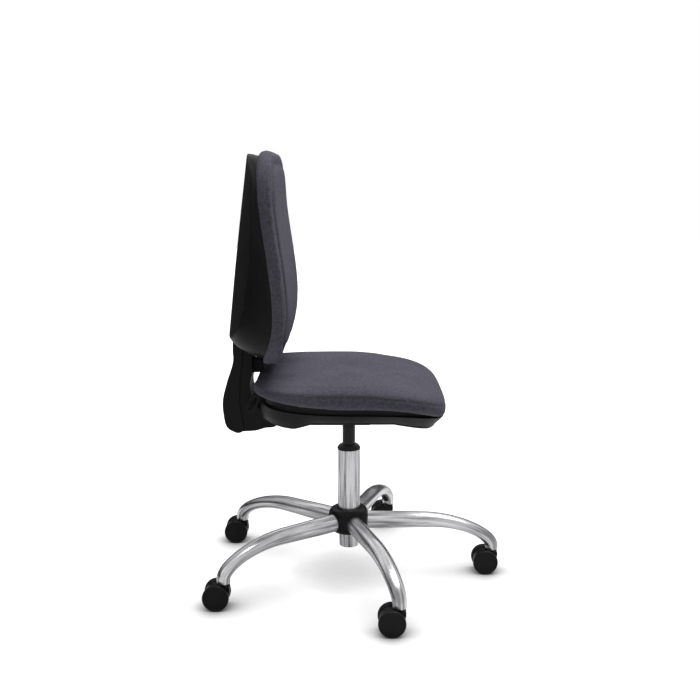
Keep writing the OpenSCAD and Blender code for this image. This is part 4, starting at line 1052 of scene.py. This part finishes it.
class OFFICECHAIR_OT_seat(Operator):
    """Build the padded seat, its sewn border and the pan under it"""

    bl_idname = "officechair.seat"
    bl_label = "Seat"

    def execute(self, context):
        def held(p):
            edge = Seat.edge(p[:, 0])
            return 1 - smoothstep(edge + 2, edge + 14, p[:, 2])

        mesh = padded_cover("seat_pad", seat_rows, held)
        p = from_column(mesh)
        edge = Seat.edge(p[:, 0])
        rise, tall = p[:, 2] - edge, Seat.top(p[:, 0]) - edge
        seam = rise - 0.6 * tall
        groove(mesh, np.hypot(seam, np.clip(Seat.depth(p) - 14, 0, None)), 1.3, 2.8)
        p = from_column(mesh)
        # The rear is pressed in by 9 on either side, as a bell of 32 by 22 round each place.
        dent = np.exp(-(((p[:, 0] + 144) / 32) ** 2 + ((np.abs(p[:, 1]) - 84) / 22) ** 2))
        p[:, 2] -= 9.0 * dent * smoothstep(0.6, 0.9, rise / tall)
        set_coords(mesh, at_column(p))
        angle = np.arctan2(p[:, 1], p[:, 0] - Seat.mid_x)
        cloth_uv(mesh, p[:, :2], (seam > 0) & (rise > 20), angle, rise)
        out = Seat.ring(0.0, 0.8) - Seat.ring(20.0, 0.6)
        out /= np.linalg.norm(out, axis=1, keepdims=True)
        add_pad("seat", "seat", mesh, Seat.ring(4.0, 0.66), out)
        pan = new_piece("seat_pan", seat_pan_mesh(), "seat", "pan_plastic", "seat_shell")
        low = middle("mechanism_plate").z / MM
        # Four holes of 8.5 across take the mechanism's bolts.
        bolt = [(0.0, low - 6), (4.25, low - 6), (4.25, low + 30), (0.0, low + 30)]
        places = [(COLUMN_X + x, y, 0) for x in (-12.0, 52.0) for y in (-132.0, 132.0)]
        cut(pan, [grid_mesh("hole", [spun(bolt, place, count=32)], 30) for place in places], 32)
        return {"FINISHED"}


def shell_rows():
    """Rows of the back shell: rear face out to the ridge, side forward to the rim, and inside.

    The rear line is -256 + 50 max(0, t - 0.07) - 3 sin(180 t), and the face bows forward from its
    middle by 40 times a share of t times (y / half)^2. The lower side hangs down by 8 as a lip.
    """
    heights = np.array([0, 0.1, 0.28, 0.5, 0.63, 0.8, 0.95, 1])
    bows = np.array([0.66, 0.8, 1.08, 1.06, 1, 0.8, 0.56, 0.5])

    def rear_x(z):
        t = Back.share(z)
        return -256 + 50 * np.maximum(0, t - 0.07) - 3 * np.sin(np.pi * np.clip(t, 0, 1))

    def face(share, inset, lift):
        low = Back.low + 42 + inset
        high = Back.mid_z + Back.height / 2 - 4 - inset
        across, up = oval(1.0, (high - low) / 2, Back.power, OUTLINE)
        z = (low + high) / 2 + share * up
        half = Back.half_width(z) - 44 - inset
        y = share * across * half
        bow = 40 * np.interp(Back.share(z), heights, bows) * (y / half) ** 2
        return np.stack([rear_x(z) + lift + bow, y, z], -1)

    rim, ridge = Back.ring(7.8, 0, -6), face(1.0, 0, 0)
    rows = [face(s, 0, 0) for s in (0.1, 0.25, 0.4, 0.55, 0.7, 0.82, 0.92, 0.975)]
    rows += [face(0.985, 0, 0.25), face(0.996, 0, 1.0), face(1.004, 0, 2.2)]
    under = smoothstep(-0.5, -0.92, np.sin(OUTLINE))
    for t in np.linspace(0, 1, 14)[1:]:
        row = lerp(ridge, rim, t)
        swell = 2.6 * math.sin(math.pi * t)
        row[:, 2] -= 8 * min(1, 4 * t) * min(1, 3 * (1 - t)) * under
        row[:, 1] += np.sign(row[:, 1]) * swell * np.minimum(1, np.abs(row[:, 1]) / 60)
        rows.append(row)
    lip = [(6.4, -2.5), (6.0, -1.2), (6.6, -0.5), (8.2, -0.4), (9.0, -1.2), (11, -6)]
    rows += [Back.ring(inset, 0, lift) for inset, lift in lip] + [face(1.0, 3.5, 3.0)]
    rows += [face(s, 0, 3.0) for s in (0.82, 0.6, 0.35, 0.1)]
    return at_column(np.stack(rows))


class OFFICECHAIR_OT_back(Operator):
    """Build the padded back with its sewn channel, and the moulded shell behind it"""

    bl_idname = "officechair.back"
    bl_label = "Back"

    def execute(self, context):
        def held(p):
            edge = Back.edge(p[:, 2])
            return 1 - smoothstep(edge + 3, edge + 12, p[:, 0])

        mesh = padded_cover("back_pad", back_rows, held)
        p = from_column(mesh)
        deep, up = Back.depth(p), p[:, 2] - Back.low
        proud = p[:, 0] - Back.edge(p[:, 2])
        channel = deep - 26.5 - 9 * smoothstep(60, 20, up)
        front = smoothstep(12, 18, proud) * (1 - 0.8 * smoothstep(-70, -35, up - Back.height))
        groove(mesh, channel, 3.6, 4.0, front * (1 + 0.9 * smoothstep(110, 50, up)))
        groove(mesh, np.hypot(proud - 0.6 * Back.pad, np.clip(deep - 12, 0, None)), 1.0, 2.4)
        p = from_column(mesh)
        angle = np.arctan2(p[:, 2] - Back.mid_z, p[:, 1])
        cloth_uv(mesh, p[:, 1:], (channel > 0) & (proud > 10), angle, proud - deep)
        ring = Back.ring(30.0, 1.0)
        add_pad("back", "backrest", mesh, ring, np.tile([1.0, 0.0, 0.0], (len(ring), 1)))
        shell_mesh = grid_mesh("back_moulding", [shell_rows()], 26)
        shell = new_piece("back_moulding", shell_mesh, "backrest", "shell_plastic", "back_shell")
        slot = [
            [[-250, -48.5, z], [-203, -48.5, z], [-203, 48.5, z], [-250, 48.5, z]]
            for z in (Back.low - 20, Back.low + 66)
        ]
        cut(shell, [grid_mesh("slot", [at_column(slot)], 30)], 26)
        return {"FINISHED"}


LEG_LEVEL = 121.5  # height of the legs' middle line at the hub
CASTER_CIRCLE = 320  # radius on which the casters swivel
CASTER_TRAIL = 14.7  # from a caster's stem back to its axle
WHEEL_RADIUS = 27.5


def leg_grid(number):
    """One leg: level from the hub, then down a cubic Bezier, oval at the root and round at the end.

    The section's height goes 39 to 26 over the first 0.6 of the bend and on to 28.6, its width
    37 to 28.6 with t^1.5, and the end is rounded over the collar.
    """
    t = np.linspace(0, 1, sizes().leg_steps)
    bend = np.array(
        [
            [170, LEG_LEVEL],
            [lerp(170, CASTER_CIRCLE, 0.56), LEG_LEVEL],
            [CASTER_CIRCLE, lerp(LEG_LEVEL, 53, 0.52)],
            [CASTER_CIRCLE, 61],
        ]
    )
    place = np.stack([(1 - t) ** 3, 3 * t * (1 - t) ** 2, 3 * t**2 * (1 - t), t**3], -1) @ bend
    slope = np.arctan2(*np.gradient(place, axis=0).T[::-1])
    first = lerp(lerp(39, 26, 0.33), 26, np.sin(np.radians(150 * np.minimum(t, 0.6))))
    high = np.where(t < 0.6, first, lerp(26, 28.6, (t - 0.6) / 0.4))
    wide = lerp(37, 28.6, t**1.5)
    level = np.linspace(28, 160, 12)
    root = np.stack([level, 0 * level + LEG_LEVEL], -1)
    start = lerp(39, high[0], smoothstep(60, 175, level))
    centre = np.vstack([root, place, [[CASTER_CIRCLE, z] for z in (55, 53.4, 53)]])
    slope = np.concatenate([0 * level, slope, [-np.pi / 2] * 3])[:, None]
    high = np.concatenate([start, high, [28.6, 27.8, 25.6]])[:, None]
    wide = np.concatenate([0 * level + 37, wide, [28.6, 27.8, 25.6]])[:, None]
    angle = turns(48)[None, :]
    up, across = high / 2 * np.sin(angle), wide / 2 * np.cos(angle)
    x, z = centre[:, :1] - up * np.sin(slope), centre[:, 1:] + up * np.cos(slope)
    return turned(at_column(np.stack([x, across, z], -1)), 2 * math.pi / 5 * (number - 1))


def hub_grid():
    """The hub as a ring: r = 23.6 + (reach - 23.6) cos(90 t)^0.42 and z = 124 + 27 sin(90 t).

    t runs from -1 at the foot to 1 at the collar round the column. The reach is 44.4, and swells by
    up to 1.6 between the legs.
    """
    reach = 44.4 + 0.8 * (1 - np.cos(5 * OUTLINE))
    rings = []
    for t in np.linspace(-1, 1, 41)[1:-1]:
        r = 23.6 + (reach - 23.6) * math.cos(math.pi / 2 * t) ** 0.42
        rings.append((r, 124 + 27 * math.sin(math.pi / 2 * t)))
    rings += [(24.4, 151), (23.9, 150.6), (23.7, 149), (22.7, 101), (23.2, 97.4), (24.2, 97)]
    c, s = np.cos(OUTLINE), np.sin(OUTLINE)
    return at_column(np.stack([np.stack([r * c, r * s, 0 * c + z], -1) for r, z in rings]))


def tube_uv(mesh, grid):
    """Writes a leg's own UVs in metres, way round against way along, with the seam below."""
    rows, cols, _ = grid.shape
    vertex, face, _, first = face_corners(mesh)
    column = (vertex + cols // 4) % cols
    widest = np.maximum.reduceat(column, first) - np.minimum.reduceat(column, first)
    wraps = widest[face] > cols / 2
    column = np.where(wraps & (column < cols / 2), column + cols, column)
    steps = np.linalg.norm(np.diff(grid.mean(1), axis=0), axis=1)
    along = np.concatenate([[0], np.cumsum(steps)])[np.minimum(vertex // cols, rows - 1)]
    girth = 0.105
    write_uv(mesh, "Tube", column / cols * girth, along)


class OFFICECHAIR_OT_base(Operator):
    """Build the chromed legs, the hub and the column"""

    bl_idname = "officechair.base"
    bl_label = "Base"

    def execute(self, context):
        for number in range(1, 6):
            name, grid = f"leg_tube_{number}", leg_grid(number)
            mesh = grid_mesh(name, [grid], 50)
            tube_uv(mesh, grid)
            new_piece(name, mesh, "base", "leg_chrome", f"leg_{number}")
        sleeve = rounded(
            [(19.2, 63), (21.2, 63), (25, 185), (25, 286),
             (23.2, 286), (23.2, 186), (19.4, 66), (19.2, 63)],
            [0, 0.8, 30, 0.8, 0.5, 10, 1, 0], 6,
        )
        bush = rounded(
            [(14.1, 216), (22.9, 216), (22.9, 286.1), (25.4, 286.1), (25.4, 288.8),
             (23.4, 292.6), (20.0, 296.0), (16.6, 297.2), (14.1, 297.2), (14.1, 216)],
            [0, 0.5, 0, 0.8, 1.2, 2.5, 2.0, 1.0, 0.5, 0], 4,
        )
        gas = rounded(
            [(0, 122), (12.4, 122), (14, 123.8), (14, 350), (13.3, 368), (0, 368)],
            [0, 0.8, 0.8, 0, 0.6, 0], 3,
        )
        axis = (COLUMN_X, 0, 0)
        for name, grid, sharp, ring, body, slot, source in (
            ("hub_casting", hub_grid(), 50, True, "base", "hub_paint", "base_hub"),
            ("column_sleeve", spun(sleeve[:-1], axis), 35, True,
             "base", "column_chrome", "column_tube"),
            ("bush_collar", spun(bush[:-1], axis), 35, True, "base", "bush_plastic", "column_bush"),
            ("gas_tube", spun(gas, axis), 35, False, "seat", "cylinder_paint", "gas_cylinder"),
        ):
            new_piece(name, grid_mesh(name, [grid], sharp, ring), body, slot, source)
        return {"FINISHED"}


def wheel_profile(side):
    """Half section of a wheel as (radius, y): hub, shoulder, tread, rim ring and dished face."""
    inner, outer = 10.0, 26.0
    corners = [
        (0, inner), (25.3, inner), (25.7, inner + 2.2), (WHEEL_RADIUS, inner + 5.2),
        (WHEEL_RADIUS, outer - 3.2), (26.5, outer - 1.0), (25.4, outer - 0.2), (24.2, outer),
        (23.5, outer - 0.9), (22.6, outer - 1.5), (13.0, outer - 0.9), (5.4, outer - 0.35),
        (4.6, outer - 1.0), (3.6, outer - 1.0), (0, outer - 0.6),
    ]
    radii = [0, 0.5, 1, 1.5, 1.5, 0.7, 0.6, 0.4, 0.4, 0.6, 4, 0.4, 0.3, 0.3, 0]
    profile = rounded(corners, radii, 3)
    profile[:, 1] *= side
    return profile


class OFFICECHAIR_OT_casters(Operator):
    """Build the five twin-wheel casters"""

    bl_idname = "officechair.casters"
    bl_label = "Casters"

    def execute(self, context):
        for number in range(1, 6):
            turn = 2 * math.pi / 5 * (number - 1)
            x = COLUMN_X + CASTER_CIRCLE * math.cos(turn) - CASTER_TRAIL
            centre = (x, CASTER_CIRCLE * math.sin(turn), WHEEL_RADIUS)
            wheels = [spun(wheel_profile(side), centre, "y", 72) for side in (-1, 1)]
            pair = grid_mesh(f"wheel_pair_{number}", wheels, 30)
            source, body = f"caster_wheels_{number}", f"wheels_{number}"
            new_piece(f"wheel_pair_{number}", pair, body, "wheel_plastic", source)
            source, name = f"caster_hood_{number}", f"caster_cowl_{number}"
            softened(source, name, 1.2, f"caster_{number}", "caster_plastic", 3)
        return {"FINISHED"}


class OFFICECHAIR_OT_upright(Operator):
    """Round off the upright's covers, the levers and the moulded mechanism pieces"""

    bl_idname = "officechair.upright"
    bl_label = "Upright and levers"

    def execute(self, context):
        for row in (
            ("upright_cover_rear", "cover_back_half", 3.5, "back_support", "cover_plastic", 3),
            ("upright_cover_front", "cover_front_half", 2.5, "back_support", "cover_plastic", 3),
            ("height_lever", "height_handle", 1.0, "lift_lever", "lever_plastic", 2),
            ("back_lever", "back_handle", 1.2, "tilt_lever", "lever_plastic", 3),
            ("lever_block", "lever_bearing", 1.0, "seat", "moulded_plastic", 2),
            ("height_carriage", "carriage_moulding", 1.0, "backrest", "moulded_plastic", 2),
            ("mechanism_housing", "mechanism_pressing", 1.0, "seat", "mechanism_paint", 2),
            ("mechanism_plate", "seat_plate", 0.8, "seat", "mechanism_paint", 2),
        ):
            softened(*row)
        return {"FINISHED"}


class OFFICECHAIR_OT_hardware(Operator):
    """Give every remaining piece of the frame its finish"""

    bl_idname = "officechair.hardware"
    bl_label = "Hardware"

    def execute(self, context):
        for part in frame["record"]["subparts"]:
            obj = NODES[part["node"]]
            material = finish(part["material_slot"])
            if not obj.material_slots:
                obj.data.materials.append(material)
            for place in obj.material_slots:
                place.material = material
        return {"FINISHED"}


# ---------------------------------------------------------------- stage


def soft_lamp(name, place, aim, size, power):
    """A rectangular area lamp in metres and watts, turned to aim at a point."""
    data = bpy.data.lights.new(name, "AREA")
    data.shape = "RECTANGLE"
    data.size, data.size_y = size
    data.energy = power
    lamp = placed(name, data)
    lamp.location = place
    lamp.rotation_euler = (Vector(aim) - Vector(place)).to_track_quat("-Z", "Y").to_euler()
    return lamp


def stage_card(name, corners, material):
    """One flat face that belongs to the stage."""
    mesh = bpy.data.meshes.new(name)
    mesh.from_pydata(corners, [], [(0, 1, 2, 3)])
    mesh.materials.append(material)
    card = placed(name, mesh)
    return card


def dark_flag(name, start, end, height=1.25):
    """An upright black card that only mirror reflections see, so that satin plastic stays deep."""
    corners = [(*start, 0), (*end, 0), (*end, height), (*start, height)]
    flag = stage_card(name, corners, shader("Black felt flag", "#050505", 1.0)[0])
    for kind in ("camera", "diffuse", "shadow", "transmission"):
        setattr(flag, f"visible_{kind}", False)


def seen_paths(tree, mirrored):
    """1 for camera and transmission rays, which see plain white, and mirrored for glossy rays."""
    path = node(tree, "LightPath", None)
    straight = {0: path["Is Camera Ray"], 1: path["Is Transmission Ray"]}
    seen = node(tree, "Math", "Value", straight, operation="MAXIMUM")
    gloss = {0: path["Is Glossy Ray"], 1: mirrored}
    gloss = node(tree, "Math", "Value", gloss, operation="MULTIPLY")
    return node(tree, "Math", "Value", {0: seen, 1: gloss}, operation="MAXIMUM")


def floor_finish(tint):
    """White floor: rays that see the backdrop see a glow, dimmed near the chair by its occlusion as
    a painted contact shadow.

    The glow is 1.5 times the unoccluded share to the power of 2.1. It is mixed over the plain floor
    by 0.8 within 0.5 m of the middle, and by all of it beyond 1.4 m.
    """
    material, tree, principled = shader(
        "White studio floor", "#f2f2f2", 0.9, Specular_IOR_Level=0.0
    )
    wire(principled, {"Base Color": (*tint[:], 1)})
    # Painted contact shadow: the glow's strength falls with ambient occlusion within 0.14 m,
    # darkest round the casters and under the column.
    near = node(tree, "AmbientOcclusion", "AO", {"Distance": 0.14}, samples=16)
    near = node(tree, "Math", "Value", {0: near, 1: 2.1}, operation="POWER")
    near = node(tree, "Math", "Value", {0: near, 1: 1.5}, operation="MULTIPLY")
    glow = node(tree, "Emission", "Emission", {"Color": (1, 1, 1, 1), "Strength": near})
    place = node(tree, "TexCoord", "Object")
    far = node(tree, "VectorMath", "Value", {0: place}, operation="LENGTH")
    fade = {"Value": far, "From Min": 0.5, "From Max": 1.4, "To Min": 0.8, "To Max": 1.0}
    share = {0: seen_paths(tree, 0.3), 1: node(tree, "MapRange", "Result", fade)}
    share = node(tree, "Math", "Value", share, operation="MULTIPLY")
    blend = {0: share, 1: principled.outputs[0], 2: glow}
    wire(tree.nodes["Material Output"], {"Surface": node(tree, "MixShader", "Shader", blend)})
    return material


CAMERA_PLACE = ((COLUMN_X + 2.5) * MM, -2.101, 0.8965)
CAMERA_TILT = 10.51  # degrees downward
CAMERA_LENS = 50.7  # millimetres, on a 36 mm sensor


class OFFICECHAIR_OT_stage(Operator):
    """Set the pale floor, the soft lamps and the camera"""

    bl_idname = "officechair.stage"
    bl_label = "Studio"

    def execute(self, context):
        scene = context.scene
        scene.world = bpy.data.worlds.new("Studio")
        scene.world.use_nodes = True
        tree = scene.world.node_tree
        seen = {"Value": seen_paths(tree, 0.58), "To Min": 0.12, "To Max": 1.0}
        strength = node(tree, "MapRange", "Result", seen)
        wire(tree.nodes["Background"], {"Color": (1, 1, 1, 1), "Strength": strength})

        corners = [(-9, -9, 0), (9, -9, 0), (9, 9, 0), (-9, 9, 0)]
        stage_card("studio_floor", corners, floor_finish(scene.office_chair.colours.floor))

        soft_lamp("Overhead softbox", (0.72, 0.3, 4.0), (0, 0, 0.4), (1.6, 3.0), 114)
        over, under = (COLUMN_X * MM, 0, 0.335), (COLUMN_X * MM, 0, 0)
        soft_lamp("Under-seat fill", over, under, (0.4, 0.4), 0.35).visible_camera = False
        soft_lamp("Camera-side softbox", (-0.4, -2.8, 1.5), (0, 0, 0.5), (1.6, 1.6), 1.4)
        soft_lamp("Rear rim light", (-2.2, -1.2, 1.6), (-0.1, 0, 0.6), (0.5, 1.6), 2.2)
        dark_flag("Dark flag behind", (-2.6, 2.6), (3, 2.6))
        dark_flag("Dark flag at the left", (-2.6, -1.6), (-2.6, 2.6))

        camera = placed("Side view", bpy.data.cameras.new("Side view"))
        camera.data.sensor_width = 36
        camera.data.lens = CAMERA_LENS
        camera.location = CAMERA_PLACE
        camera.rotation_euler = (math.radians(90 - CAMERA_TILT), 0, 0)
        scene.camera = camera
        scene.view_settings.view_transform = "Standard"
        return {"FINISHED"}


OPERATORS = (
    OFFICECHAIR_OT_seat,
    OFFICECHAIR_OT_back,
    OFFICECHAIR_OT_base,
    OFFICECHAIR_OT_casters,
    OFFICECHAIR_OT_upright,
    OFFICECHAIR_OT_hardware,
    OFFICECHAIR_OT_stage,
)


class OFFICECHAIR_PT_panel(Panel):
    """The chair's settings and the steps that build it"""

    bl_idname = "OFFICECHAIR_PT_panel"
    bl_label = "Armless Office Chair"
    bl_space_type = "VIEW_3D"
    bl_region_type = "UI"
    bl_category = "Chair"

    def draw(self, context):
        settings = context.scene.office_chair
        for group in (settings.sizes, settings.colours):
            for key in group.bl_rna.properties.keys():
                if key not in {"rna_type", "name"}:
                    self.layout.prop(group, key)
        for step in OPERATORS:
            self.layout.operator(step.bl_idname)


CLASSES = (ChairSizes, ChairColours, ChairSettings, *OPERATORS, OFFICECHAIR_PT_panel)


def register():
    for cls in CLASSES:
        bpy.utils.register_class(cls)
    bpy.types.Scene.office_chair = PointerProperty(type=ChairSettings)


def unregister():
    del bpy.types.Scene.office_chair
    for cls in reversed(CLASSES):
        bpy.utils.unregister_class(cls)


def main():
    register()
    bpy.ops.officechair.hardware()
    bpy.ops.officechair.seat()
    bpy.ops.officechair.back()
    bpy.ops.officechair.base()
    bpy.ops.officechair.casters()
    bpy.ops.officechair.upright()
    bpy.ops.officechair.stage()


if __name__ == "__main__":
    main()
